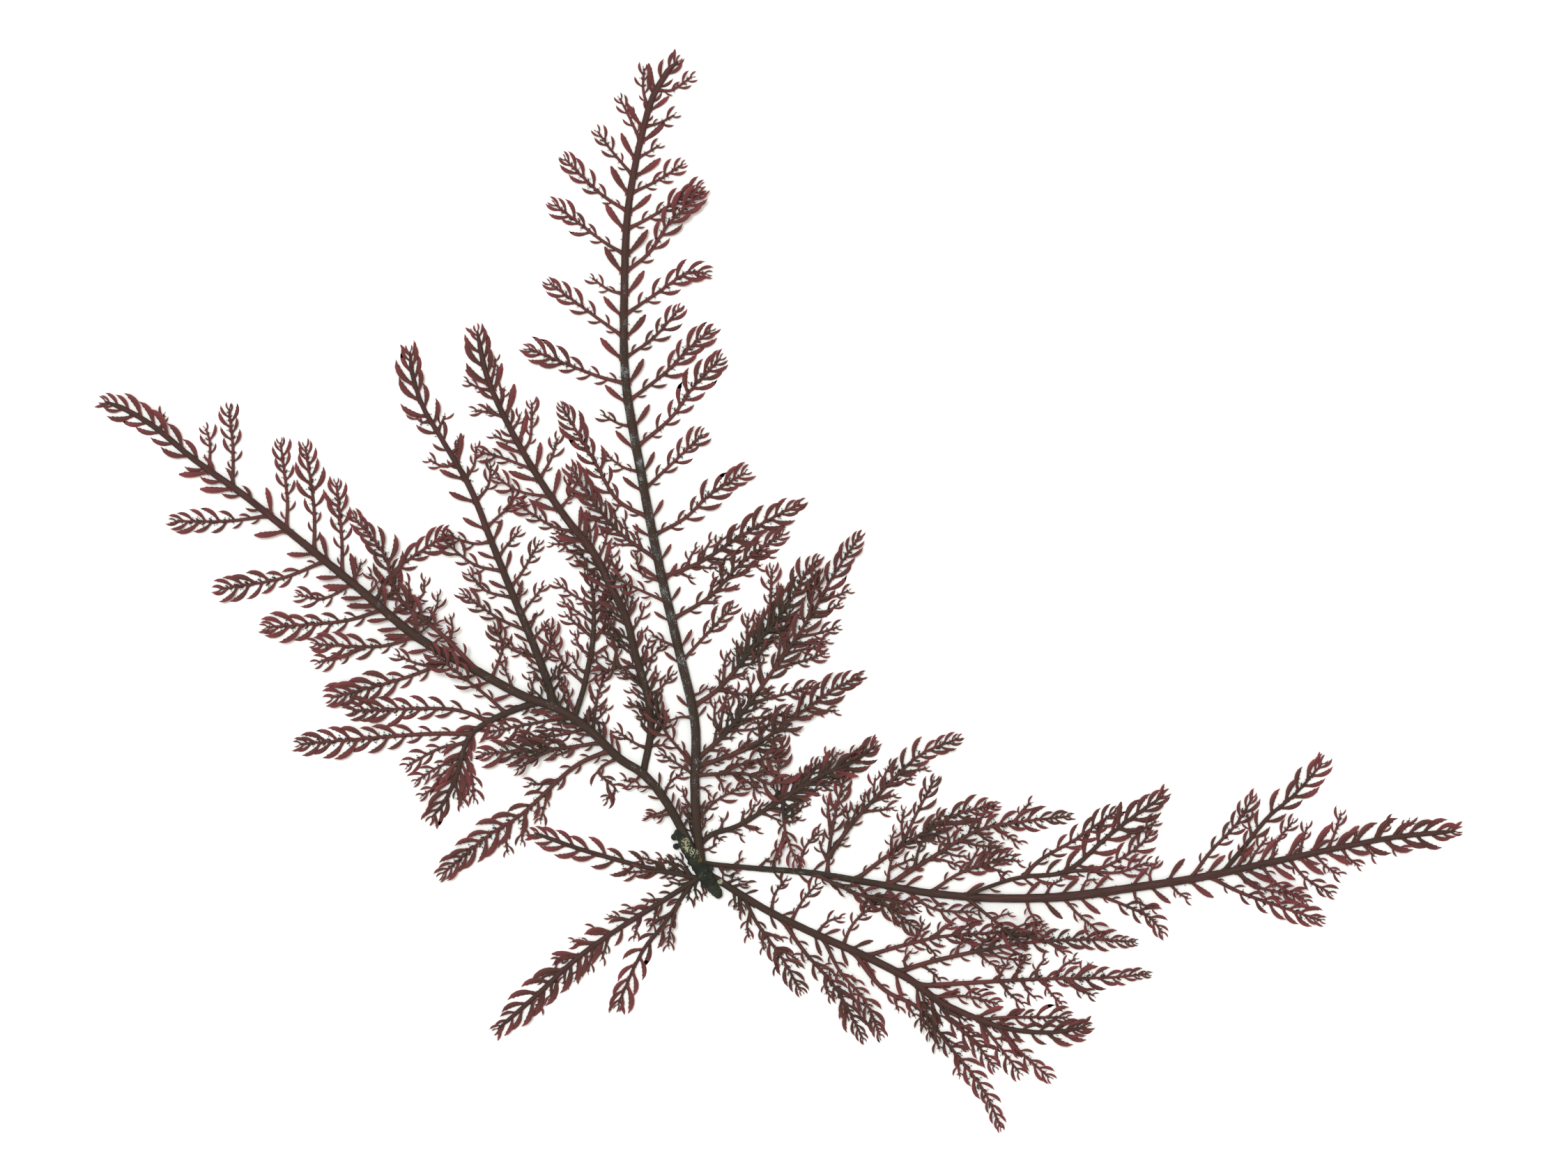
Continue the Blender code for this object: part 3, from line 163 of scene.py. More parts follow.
# %% Light
SKY_STRENGTH = 0.78
SUN_STRENGTH = 1.75
SUN_SIZE = 22.0
SUN_RAY = Vector((0.24, -0.26, -1.0))
world = bpy.data.worlds.new("soft_sky")
bpy.context.scene.world = world
world.use_nodes = True
world.node_tree.nodes["Background"].inputs["Color"].default_value = (1.0, 0.955, 0.88, 1.0)
world.node_tree.nodes["Background"].inputs["Strength"].default_value = SKY_STRENGTH
sun = plain_object("sun", bpy.data.lights.new("sun", "SUN"))
sun.data.energy = SUN_STRENGTH
sun.data.color = (0.90, 0.96, 1.0)
sun.data.angle = math.radians(SUN_SIZE)
sun.rotation_euler = SUN_RAY.to_track_quat("-Z", "Y").to_euler()
bpy.context.scene.view_settings.view_transform = "Standard"
print("light: sky", SKY_STRENGTH, "and sun", SUN_STRENGTH)

# %% [markdown]
# ## Where everything grows
#
# The tables say where each stem and spray runs in the picture, in millimetres from the
# holdfast. A stem has its widths at foot, middle and tip before its points. A spray starts
# on whatever passes its first point. Nothing else is placed by hand: skins, blades and
# teeth all follow these courses by rule.
#
# The crown frond is the tall one. Its foot is the thickest part of the plant, where
# five branches leave to the right and bear sprays of their own, over a thin branch
# that has its foot there too.

# %% The crown frond
def tell(name, stems, sprays):
    """Prints how much of a frond is drawn."""
    print(name + ": stems", len(stems), "and sprays", len(sprays))


CROWN_STEMS = (
    ((2.1, 2.05, 1.2),
     ((-1.4, 3.0), (-2.4, 11), (-2.8, 20), (-2.8, 34), (-6.4, 50), (-11, 70), (-14.9, 90),
      (-18.2, 110), (-18.5, 130), (-17.4, 150), (-13.2, 170), (-9.3, 178), (-6.6, 181))),
)
CROWN_SPRAYS = (
    # Right side, from the tip down
    ((-10.6, 174), (-8, 174.5), (-3.5, 177.5)),
    ((-13.2, 166.2), (-10.5, 167.3), (-7.4, 169)),
    ((-16, 159.3), (-13.4, 160.6), (-10.8, 162.2)),
    ((-16.9, 151.4), (-11, 154.5), (-5.6, 158)),
    ((-17.7, 143.2), (-12.3, 146.5), (-1.7, 153.1)),
    ((-18.3, 134.1), (-13.1, 138.2), (-8.2, 145.2), (-1.3, 151.4)),
    ((-18.5, 124.7), (-11.3, 129.3), (-4.8, 133.7), (-0.4, 133.8)),
    ((-18.3, 114.9), (-11.8, 119.6), (-6.3, 125.9)),
    ((-17.2, 105.3), (-9.2, 111.8), (-4.2, 117), (0.6, 121)),
    ((-15.7, 95.4), (-8.1, 101.6), (-3.2, 108.4), (2.8, 114.7)),
    ((-13.9, 85.4), (-7.7, 91.6), (-1.2, 97.8)),
    ((-12, 75.2), (-5.1, 79.2), (0.8, 84.7), (8.3, 89.3)),
    ((-9.9, 65.8), (-1.8, 69.4), (7, 75), (14.2, 79.2), (20.4, 82.4)),
    ((-7.8, 56.5), (0.5, 61.8), (7.6, 69.3), (16.6, 75.7)),
    ((-5.7, 47.2), (-1.4, 52.1), (5.5, 59.5)),
    # Left side
    ((-12.9, 170.2), (-14.3, 174.6), (-14.1, 179.3)),
    ((-15.2, 163.6), (-17.7, 169.2), (-19.5, 172.7)),
    ((-16.6, 155.8), (-21.2, 160.9), (-24.4, 165.3)),
    ((-17.6, 147.8), (-23.9, 151.6), (-31.7, 159.2)),
    ((-18.2, 138.2), (-23.8, 141.3), (-33.9, 149.1)),
    ((-18.6, 129.3), (-22, 130.1), (-25.6, 132.7)),
    ((-18.6, 119.4), (-24.9, 124.1), (-35, 131.5)),
    ((-18.3, 109.2), (-25.6, 111.3), (-39.7, 117)),
    ((-16.4, 99.7), (-19.5, 100.2), (-23.2, 102.2)),
    ((-15, 89.8), (-18.8, 90.6), (-22.4, 93.3)),
    ((-13.2, 79.5), (-20.1, 83.4), (-24.9, 91.5), (-32.3, 104)),
    ((-11.1, 69.6), (-20.1, 76.5), (-26.9, 85), (-30.3, 90.5)),
    ((-10, 65.2), (-14.6, 66.8), (-16, 71.5)),
    ((-9, 60.6), (-15, 63.3), (-21, 66.2)),
    ((-6.6, 50.2), (-9.3, 51.7), (-12.3, 53.2)),
    ((-3.4, 34.6), (-6.1, 35), (-9.6, 33.6)),
    ((-2.8, 24), (-9, 31.3), (-11, 35.5), (-11.4, 39.4)),
    ((-2.8, 22.2), (-7, 24.8), (-10.3, 26.8)),
    ((-2.7, 14.5), (-4.6, 16.2), (-5.6, 19)),
    # The branches on the right, with their own sprays
    ((-2.8, 37.2), (2.7, 41.5), (9.1, 49), (18.1, 60.3), (21.8, 67), (24.5, 70)),
    ((13, 54.6), (14, 61), (14.3, 68)),
    ((8.6, 48.4), (8.8, 53), (9, 57.3)),
    ((4, 42.6), (3.6, 45.6), (4.3, 49)),
    ((14.6, 56.4), (17.5, 56.6), (20.4, 57.6)),
    ((-2.8, 25.5), (5, 32.5), (14.8, 45.6), (21.8, 55.8), (28.6, 67.4), (33.8, 75.2)),
    ((9.4, 38.3), (16.4, 39.9), (23.3, 41.9)),
    ((6.6, 34.4), (13.2, 35.1), (18.1, 36)),
    ((15, 45.9), (21.7, 47.6), (26.1, 49.2)),
    ((20, 52.6), (24.1, 53.5), (29, 55)),
    ((23.4, 58.2), (26.6, 58.6), (29.4, 60.2)),
    ((22.4, 56.8), (23.4, 62), (24.4, 67.5)),
    ((15.6, 46.6), (16.2, 51), (17, 55.3)),
    ((-2.8, 23.6), (10, 28.5), (18.1, 34.1), (27.9, 41), (33.8, 43.9)),
    ((19.4, 35), (20.4, 38), (21.4, 41)),
    ((-2.8, 21.8), (8.3, 22.4), (14.6, 20), (15.8, 24), (16.6, 29.5)),
    ((3, 23), (9, 25), (16.5, 26.4)),
    ((-2.5, 11.8), (0.9, 15.5), (3.4, 17.3), (8.3, 19.8)),
)
tell("the crown frond", CROWN_STEMS, CROWN_SPRAYS)

# %% The branch at its foot
LOW_RIGHT_STEMS = (
    ((1.2, 1.0, 0.6),
     ((-1.9, 6.6), (1.4, 9.1), (7, 10.9), (16.8, 16.8), (25.9, 22.3), (32.4, 25), (37.3, 28.5))),
)
LOW_RIGHT_SPRAYS = (
    ((16.6, 16.7), (17.2, 10), (18.5, 6), (20, 2.6)),
    ((17.2, 9.2), (16, 6), (15, 3)),
    ((17.3, 12.4), (19.6, 13.4), (21.4, 15.4)),
    ((13.4, 14.6), (15.4, 17), (17.6, 20.4)),
    ((20, 18.7), (21.6, 21.4), (23.4, 24.6)),
    ((19.6, 18.5), (22.4, 18.2), (25.4, 19.2)),
    ((8.2, 11.6), (9.4, 13), (10.6, 15.6)),
)
tell("the low right branch", LOW_RIGHT_STEMS, LOW_RIGHT_SPRAYS)

# %% [markdown]
# ## The left side
#
# The left frond is long and nearly straight, with a branch that droops from its lower
# side. Three more fronds rise from its upper side and spread like the fingers of a
# hand. Each is a node of its own in the solid model, and lies over the left frond.

# %% The left frond
LEFT_STEMS = (
    ((1.95, 2.0, 1.05),
     ((-3.6, 6.0), (-9, 15.9), (-14, 22.1), (-19.8, 26), (-26.4, 32.3), (-33.5, 37),
      (-41.3, 39.9), (-53.1, 46.3), (-65.1, 53.2), (-78.2, 64.2), (-91, 74.6),
      (-102.5, 83.9), (-113.9, 92.1), (-122.7, 99.3), (-129, 103.2), (-134, 105.2))),
    ((1.6, 1.2, 0.7),
     ((-37.6, 38.2), (-41.3, 37.2), (-48, 34.3), (-53.1, 30.4), (-55.8, 22.1),
      (-58.5, 16.2), (-61.3, 12.7))),
)
LEFT_SPRAYS = (
    # Upper side
    ((-122, 98.6), (-121.4, 100), (-121, 102.4)),
    ((-110.9, 90), (-110.7, 95.7), (-111.6, 99.2)),
    ((-105.5, 86.2), (-105.6, 94.8), (-106.5, 103.6)),
    ((-93.8, 76.9), (-93.5, 83.6), (-95, 96)),
    ((-87.4, 71.7), (-87.6, 82.1), (-89.5, 95.1)),
    ((-81, 66.5), (-81.4, 75), (-82.6, 87)),
    ((-74, 60.6), (-70.4, 66.8), (-65.1, 71), (-58.2, 75.5)),
    ((-50.6, 45.3), (-58.2, 52.7), (-68.5, 61.5), (-72, 71.3), (-78.7, 79.5)),
    ((-57.4, 52), (-56.6, 54.4), (-57.2, 57.4)),
    ((-48.4, 43.6), (-46.4, 47.6), (-45.6, 51.1), (-47.6, 55)),
    ((-43, 40.7), (-44.4, 44.2), (-45.9, 47)),
    ((-39.2, 39), (-38.9, 41.6), (-39.7, 43.8)),
    ((-25.6, 31.6), (-25, 36.4), (-24.3, 40), (-22.8, 44.8)),
    ((-23.6, 29.6), (-23, 31.4), (-23.2, 34)),
    ((-9.6, 17), (-8.4, 20.4), (-5.4, 22.6)),
    # Lower side
    ((-97.4, 79.7), (-107, 78.6), (-118.5, 78.6)),
    ((-85.2, 70), (-95.1, 65.8), (-108.4, 63.5)),
    ((-78.7, 64.5), (-85.3, 61.4), (-91, 62.2)),
    ((-72, 59), (-81.4, 56.3), (-98.1, 55)),
    ((-64.5, 52.9), (-73.3, 50.7), (-87.3, 51.2)),
    ((-76, 50.4), (-81, 48.4), (-86.7, 47.2)),
    ((-56.8, 48.3), (-66.8, 43.9), (-83.6, 39.3)),
    ((-61, 45.9), (-65, 47), (-69, 48.8)),
    ((-30.5, 35), (-39.4, 33.5), (-49, 31.5)),
    ((-27, 32.6), (-32, 31.2), (-41.4, 30.1)),
    ((-23.4, 28.9), (-33.4, 28), (-50.1, 26.8)),
    ((-34.6, 27.7), (-38, 26), (-42.4, 23.3)),
    ((-22, 27.6), (-29.9, 23.7), (-41.2, 13.5), (-49.1, 8.4), (-58.8, 0.2)),
    ((-40.2, 14.6), (-41, 11), (-41.3, 7.2)),
    ((-44.4, 11.2), (-44.8, 8), (-44.5, 4.9)),
    ((-33.6, 20.8), (-36.4, 20.1), (-39.6, 20.2)),
    ((-35.6, 18.8), (-36, 16), (-37.2, 12)),
    ((-20, 26), (-24.3, 22.9), (-20.4, 19), (-22.5, 16.7)),
    ((-8.6, 15.4), (-10, 13.8), (-13, 13.2)),
    ((-14.6, 22.2), (-16.4, 20.6), (-18.6, 21)),
    # On the drooping branch
    ((-44.5, 36), (-50, 40.5), (-60.9, 49.2)),
    ((-48.2, 34.2), (-57.8, 36.8), (-78.9, 36.4)),
    ((-52.2, 31.2), (-64.8, 31.1), (-90.6, 29)),
    ((-54, 29), (-59.7, 28), (-66.8, 24.1)),
    ((-54.6, 26), (-60, 23.8), (-64.8, 20.8)),
    ((-56, 21.7), (-60, 19.6), (-63.6, 17.5)),
    ((-54.2, 27), (-52.6, 22.4), (-51.9, 16.6)),
    ((-56.2, 20.6), (-55.6, 18.4), (-54.8, 15.4)),
)
tell("the left frond", LEFT_STEMS, LEFT_SPRAYS)

# %% The outer left frond
OUTER_LEFT_STEMS = (
    ((1.9, 1.45, 0.85),
     ((-34.2, 37.6), (-36, 44), (-39, 51.9), (-43.1, 61.7), (-47.8, 73.4),
      (-52.8, 86), (-58.6, 96), (-63.2, 103.8), (-65.6, 111), (-66.2, 116.3))),
)
OUTER_LEFT_SPRAYS = (
    ((-61.7, 101.2), (-63.4, 100.4), (-65, 102)),
    ((-60, 98.2), (-59.4, 100), (-58.4, 102)),
    ((-56.2, 91.8), (-58.6, 90.7), (-62, 92.3)),
    ((-57.2, 93.6), (-55.6, 95), (-55.4, 97)),
    ((-54.2, 88.2), (-51.9, 91), (-51.5, 95.2)),
    ((-51.4, 82.8), (-48.8, 86.4), (-48.2, 91)),
    ((-49.2, 76.9), (-44.6, 81.2), (-41, 82.8)),
    ((-44.9, 81), (-43.8, 82.8), (-43.2, 85.4)),
    ((-48, 73.8), (-52, 73.6), (-58.8, 75.8)),
    ((-46.6, 70.4), (-44.8, 73), (-42, 76.3)),
    ((-45.4, 67.4), (-52, 69), (-58.8, 74.4)),
    ((-43.9, 63.6), (-41.4, 67), (-37.6, 73.6)),
    ((-42.9, 61.2), (-49.1, 63), (-53, 67)),
    ((-41.5, 57.8), (-39.2, 60.7), (-36.5, 64.1)),
    ((-40, 54.2), (-46.5, 57), (-54.3, 62.4)),
    ((-38.9, 51.6), (-37.4, 54), (-35.6, 55.6)),
    ((-37.7, 48.6), (-43.8, 50.3), (-47.4, 55)),
    ((-36.9, 46.4), (-35.2, 49.8), (-34.8, 53.2)),
    ((-35.8, 43.2), (-33.6, 43.8), (-31.8, 46.4)),
)
tell("the outer left frond", OUTER_LEFT_STEMS, OUTER_LEFT_SPRAYS)

# %% The middle left frond
MIDDLE_LEFT_STEMS = (
    ((1.3, 1.2, 0.6),
     ((-29.6, 34.9), (-27.7, 40.7), (-26.7, 45.1), (-25.5, 52.1), (-25.3, 60), (-26, 66.3))),
)
MIDDLE_LEFT_SPRAYS = (
    ((-27.3, 42.6), (-31.3, 46), (-33.8, 50.7), (-35.4, 55.4)),
    ((-26.7, 45), (-28.6, 45.8), (-30, 48.8)),
    ((-26, 49), (-28.2, 50.2), (-29.6, 53.6)),
    ((-25.5, 52.6), (-28, 54.6), (-31.5, 57.8)),
    ((-25.4, 56), (-28.4, 58), (-32.2, 60.6)),
    ((-25.3, 60), (-29.3, 61.8), (-33.4, 64.8)),
    ((-25.5, 53), (-23.4, 54.4), (-22.6, 57.6)),
    ((-25.3, 58), (-23.4, 59.4), (-22.4, 62)),
)
tell("the middle left frond", MIDDLE_LEFT_STEMS, MIDDLE_LEFT_SPRAYS)

# %% The inner left frond
INNER_LEFT_STEMS = (
    ((1.6, 1.75, 1.0),
     ((-14.3, 22.6), (-13, 29), (-12.6, 33.9), (-13.6, 40.8), (-16.1, 49.2),
      (-18, 56.8), (-21.3, 63.7), (-25.7, 72.1), (-31.1, 78.8), (-36.7, 86.9),
      (-42.8, 97.1), (-47.9, 107.7), (-49.9, 114), (-51.2, 120.8))),
)
INNER_LEFT_SPRAYS = (
    ((-48.6, 109.5), (-47.6, 111.6), (-47.2, 114.8)),
    ((-47.8, 107.4), (-51, 108.3), (-53.6, 109.8)),
    ((-46.6, 104.8), (-45.6, 106.2), (-45.3, 108.2)),
    ((-45.3, 102), (-48.6, 102.8), (-51.8, 103.2)),
    ((-43.9, 99), (-42.4, 100.2), (-41.7, 102.4)),
    ((-42.4, 96.4), (-45, 96.5), (-47.6, 97.8)),
    ((-41, 93.8), (-39.4, 97.1), (-39.1, 104.9)),
    ((-38.8, 90.2), (-45.6, 92.7), (-50.6, 94)),
    ((-37.2, 87.6), (-34.7, 92.7), (-33.4, 97)),
    ((-34.8, 83.9), (-41.7, 85.2), (-47, 88.4)),
    ((-32.8, 81), (-30.8, 84), (-30.8, 88)),
    ((-29.2, 76.4), (-34.4, 77.4), (-41.9, 82.2)),
    ((-28, 75), (-31, 73.6), (-34.7, 73.5)),
    ((-27.4, 74.4), (-26.6, 77), (-27.4, 80)),
    ((-25.9, 72.2), (-28.5, 71.4), (-31.4, 71.9)),
    ((-23.6, 68), (-26.4, 67.8), (-29.2, 69.6)),
    ((-21.6, 64.2), (-20, 66.4), (-20.2, 69.6)),
    ((-18.9, 59.2), (-17.8, 61.4), (-18.2, 64)),
    ((-18.1, 57.2), (-20.6, 58), (-23, 61.4)),
    ((-16.3, 49.8), (-19.9, 52.7), (-22.4, 57)),
    ((-14.9, 46), (-11.9, 48.9), (-10, 51.1)),
    ((-15, 46.4), (-19.6, 46), (-24.6, 44.2)),
    ((-13.3, 39.6), (-10.8, 41.1), (-7.8, 44.6)),
    ((-13, 28.2), (-15.6, 28.9), (-20.3, 31.9)),
)
tell("the inner left frond", INNER_LEFT_STEMS, INNER_LEFT_SPRAYS)

# %% [markdown]
# ## The right side
#
# The right frond is the longest of all. It has two side stems, and most of its sprays
# near the foot are long enough to bear sprays themselves. The lower right frond is
# shorter and broader, and its sprays cross each other most.

# %% The right frond
RIGHT_STEMS = (
    ((1.1, 2.05, 0.95),
     ((-1.2, 2.6), (2.4, 2.1), (11.4, 1.3), (23.4, 0.3), (37.1, -2), (50.8, -4.3), (64.8, -5.3),
      (80, -4.9), (95, -2.9), (110, -0.6), (124, 2.4), (140, 5.8), (153.3, 8.3), (166.4, 9.6))),
    ((1.1, 0.9, 0.5),
     ((114.3, 0.6), (119.6, 6.3), (124.8, 12.7), (130.8, 17.9), (136.8, 24.6))),
    ((0.8, 1.1, 0.6),
     ((57.4, -5), (62.6, -2.7), (70.1, -0.6), (80, 0.8), (89.2, 8.5), (97, 14.4), (101.5, 17.4))),
)
RIGHT_SPRAYS = (
    # Upper side
    ((14.6, 1.1), (15, 3.4), (16.4, 6.8)),
    ((20, 0.8), (21.7, 5.9), (25, 9.6)),
    ((26.5, 0.2), (27.2, 6.6), (28.8, 15), (30.8, 23)),
    ((26.9, 4), (32.6, 11.7), (41.2, 21), (47.7, 26.8), (55.8, 30.2)),
    ((30.8, 9.4), (31.4, 11.6), (30.8, 15)),
    ((34.6, 13.8), (38, 14.2), (41.4, 14.8)),
    ((37, 16.6), (39.6, 17), (41.9, 17.6)),
    ((33, -1.1), (40.2, 4.2), (47.7, 9), (55.9, 13.5), (64, 15.4)),
    ((43.3, 6.4), (46, 12.4), (50.4, 20.9)),
    ((39.8, -2.3), (40.6, 1.8), (42, 6.6)),
    ((40.8, 1.6), (43, 2.3), (45.6, 3.5)),
    ((51.6, 10.7), (55.4, 11.2), (59.2, 11.6)),
    ((40.2, -2.3), (49.1, 3.2), (60, 9.7), (69.8, 11.7), (80.6, 12.9)),
    ((49.8, 3.6), (53, 3), (56.6, 1.6)),
    ((53.4, 6), (53.6, 8.6), (52.4, 11)),
    ((59.6, 9.6), (61.6, 8), (63.6, 7)),
    ((49.6, -4.1), (56, 0.2), (62.6, 2.5), (67.3, 4.4)),
    ((57.6, 1.1), (59, 3.4), (60.4, 5.8)),
    ((60.6, 2), (62, 4.4), (64, 6.6)),
    ((61, 2.1), (64.4, 0.9), (66.6, 0.2)),
    ((64, 2.8), (67, 3.2), (69.6, 2.8)),
    ((70.4, -0.5), (74.2, 3.3), (82.1, 7.9), (90.8, 14)),
    ((79.6, 0.7), (87.3, 1.3), (94.8, 5.3), (98.8, 9.4)),
    ((85, 0.9), (91, 0.4), (98, 2.6)),
    ((91.6, 10.3), (95, 9.2), (99.8, 11.8)),
    ((75, -5.1), (76.6, -2.4), (79, -1.2)),
    ((82.9, -4.6), (84.2, -1.4), (86.4, -1.2)),
    ((98.6, -2.2), (98.4, 0.4), (100.2, 2.8)),
    ((107.2, -1), (112.2, 5.3), (117.5, 10.9), (121.4, 17.2)),
    ((121, 8.1), (120.6, 10.6), (120, 13.4)),
    ((117.6, 0.9), (119, 3.6), (119.8, 7)),
    ((119.7, 1.3), (122, 4.9), (124.4, 8)),
    ((125.8, 2.9), (126.6, 7), (130.2, 11.6)),
    ((131.9, 4), (132.4, 7.2), (133.5, 10.6)),
    ((137.9, 5.5), (139.6, 9.2), (141, 13.6)),
    ((143.6, 6.5), (144, 8), (144.6, 9.4)),
    ((148.8, 7.5), (150.2, 9.6), (151.8, 11.4)),
    ((153.6, 8.3), (155, 10.4), (156.2, 12)),
    # Lower side
    ((23.4, 0.3), (32, -3.7), (38.8, -6.4), (47, -12.4)),
    ((35.4, -4.8), (40.2, -5.6), (46.7, -7.4)),
    ((44, -3.2), (50.2, -7.6), (59.4, -8.4)),
    ((57.4, -5.2), (62.9, -9.5), (68.1, -13.2), (74.9, -12.3)),
    ((70.6, -5.3), (71.6, -8.1), (73.9, -11.4)),
    ((79, -4.9), (82.7, -9.1), (88.2, -13.6)),
    ((86.4, -4.2), (93.1, -7), (98.4, -9.6), (101.2, -13)),
    ((94.6, -3), (95.6, -6), (99.4, -7.6)),
    ((102.8, -1.7), (104.6, -4), (106.9, -5.4)),
    ((111.6, -0.4), (118.5, -4), (126.9, -7), (136.4, -10.2)),
    ((117.6, 0.9), (122.4, -2.8), (131.6, -4.6)),
    ((122.8, 2), (126.6, -2.1), (133.2, -6)),
    ((129.2, 3.6), (132.9, -0.7), (138.6, -4.2)),
    ((135.2, 4.9), (138, 1.5), (140.6, 0)),
    ((140.8, 6), (142.7, 3.5), (145.2, 1.9)),
    ((146.2, 7), (147, 5.4), (148.4, 4)),
    ((151, 7.9), (152.6, 6.2), (154.8, 5.6)),
)
tell("the right frond", RIGHT_STEMS, RIGHT_SPRAYS)

# %% The lower right frond
LOWER_RIGHT_STEMS = (
    ((1.6, 1.8, 0.75),
     ((0.6, -0.2), (3.2, -1.8), (8.1, -4.9), (14.5, -8.7), (24.7, -13.6), (34.9, -18.1), (44.7, -23.2),
      (51.4, -28.1), (60, -32.1), (67.1, -34.4), (75.8, -35.2), (84.3, -34.1))),
)
LOWER_RIGHT_SPRAYS = (
    # Upper side
    ((14.4, -8.6), (15, -4.4), (17.6, -1)),
    ((18.8, -10.8), (21.3, -5.7), (24.4, -2.2)),
    ((24.1, -13.3), (26.6, -10.6), (29.8, -9.6)),
    ((30.2, -16), (32.6, -10.8), (38, -6)),
    ((35.4, -18.3), (44.7, -15.5), (53.2, -13.7), (66.6, -12.8)),
    ((45, -15.4), (47, -13.4), (48, -10.6)),
    ((47.6, -14.8), (49.6, -16.6), (51, -18.2)),
    ((42.4, -22), (51.4, -19), (68.7, -15.5), (83.7, -14.5), (95, -15)),
    ((44.4, -21.3), (43.6, -19), (45.4, -17)),
    ((48, -20.2), (50, -21.8), (51.8, -23.6)),
    ((55.4, -18.2), (56, -15.8), (58, -14.2)),
    ((62.4, -16.6), (65, -18.4), (70.6, -19.2)),
    ((60, -17.1), (62.4, -19.4), (65.4, -20.8)),
    ((66.4, -15.8), (68.4, -17.2), (71, -18.4)),
    ((76, -15.2), (78, -16.6), (79.6, -17.8)),
    ((47, -25), (58.9, -24.1), (73.9, -23.3), (88.6, -23), (98, -22.2)),
    ((57.6, -24.2), (58.6, -26), (60.8, -26.8)),
    ((64.4, -23.8), (65.4, -21.6), (67.1, -19.6)),
    ((68.4, -23.6), (69, -21), (70.8, -18.4)),
    ((73, -23.4), (73.4, -21), (75.2, -18.8)),
    ((77.6, -23.4), (79, -20.6), (81.9, -18.8)),
    ((82, -23.3), (83.6, -21), (85.4, -20)),
    ((65.6, -23.7), (67, -26.4), (70.2, -28.9)),
    ((70, -23.6), (71, -25.8), (73, -27.6)),
    ((74.6, -23.4), (76, -26), (78.8, -28.8)),
    ((80, -23.4), (82, -25.4), (86, -27)),
    ((50.4, -27.4), (57.4, -27.1), (64.5, -28.8)),
    ((60.8, -32.6), (66.8, -31.8), (80, -31.9)),
    # Lower side
    ((7.4, -4.2), (7, -6), (7.2, -8.2)),
    ((8.3, -4.9), (11, -10.8), (16.4, -18.4), (20.8, -26)),
    ((9.8, -8.8), (8.8, -11), (9.2, -14)),
    ((12.4, -13.2), (12.2, -14.8), (12.6, -16.8)),
    ((12.6, -13.2), (14.4, -13.4), (16.6, -14.6)),
    ((15.4, -17), (14.8, -18.8), (15.6, -21.2)),
    ((15.6, -17.2), (17.6, -17.4), (20.2, -19.2)),
    ((16, -9.6), (21.5, -17.1), (28.8, -25.7), (34.6, -36.6)),
    ((28.6, -25.4), (31, -26.4), (33.6, -28.8)),
    ((25.4, -14), (29.5, -21.6), (34.9, -27.9), (38.4, -35.8)),
    ((32.4, -17), (39, -25.4), (47, -29.8), (53.6, -37.9), (61.2, -47.7), (65.3, -56.3)),
    ((42, -26.9), (41.8, -28.4), (42.6, -30.4)),
    ((45, -28.4), (44.8, -29.6), (46.2, -31.6)),
    ((50.6, -34), (50.8, -36.4), (51.6, -38.8)),
    ((56, -40.9), (55.8, -43), (56.2, -45)),
    ((47.4, -25.2), (48.4, -29.3), (49.6, -36.2)),
    ((50.8, -27.8), (54.4, -32.7), (59.6, -37.6), (63.8, -42.8)),
    ((60.4, -32.4), (63.8, -36.8), (69.4, -44.2)),
    ((64.6, -33.7), (67.9, -37.9), (76, -45.2)),
)
tell("the lower right frond", LOWER_RIGHT_STEMS, LOWER_RIGHT_SPRAYS)

# %% [markdown]
# ## The short fronds
#
# Three short fronds leave the holdfast to the left and below. Their sprays are small,
# and most of what shows on them are single blades.

# %% The lower left frond
LOWER_LEFT_STEMS = (
    ((1.2, 1.2, 0.85),
     ((-0.4, 0.2), (-11.8, -7.1), (-20.8, -12.8), (-29.4, -19), (-38.8, -27.6), (-46.6, -34.4))),
)
LOWER_LEFT_SPRAYS = (
    ((-10, -6), (-11.4, -5.6), (-13.8, -6)),
    ((-13.6, -8.2), (-15.4, -7.4), (-17.8, -7.6)),
    ((-17.2, -10.5), (-19.4, -9.8), (-21.9, -9.3)),
    ((-21.2, -13.1), (-23.2, -12.3), (-25.8, -12.2)),
    ((-25, -15.7), (-27.2, -15), (-30, -14.9)),
    ((-28.6, -18.4), (-31, -18.4), (-34, -20.2)),
    ((-33, -22.4), (-35, -22.3), (-37.2, -23.2)),
    ((-11.2, -6.8), (-11.6, -9), (-12.4, -11.6)),
    ((-15, -9.2), (-15.6, -11.6), (-16.4, -14.3)),
    ((-22, -13.7), (-22.6, -16), (-23.5, -18.9)),
    ((-25.6, -16.2), (-26, -18.8), (-26.6, -21.8)),
    ((-28.4, -18.2), (-28.8, -20.6), (-29.3, -23.4)),
    ((-31.4, -20.9), (-31.8, -22.6), (-31.8, -24.6)),
    ((-34.4, -23.8), (-34.8, -25.6), (-34.8, -27.6)),
    ((-37.2, -26.1), (-37.4, -27.8), (-37.8, -29.6)),
)
tell("the lower left frond", LOWER_LEFT_STEMS, LOWER_LEFT_SPRAYS)

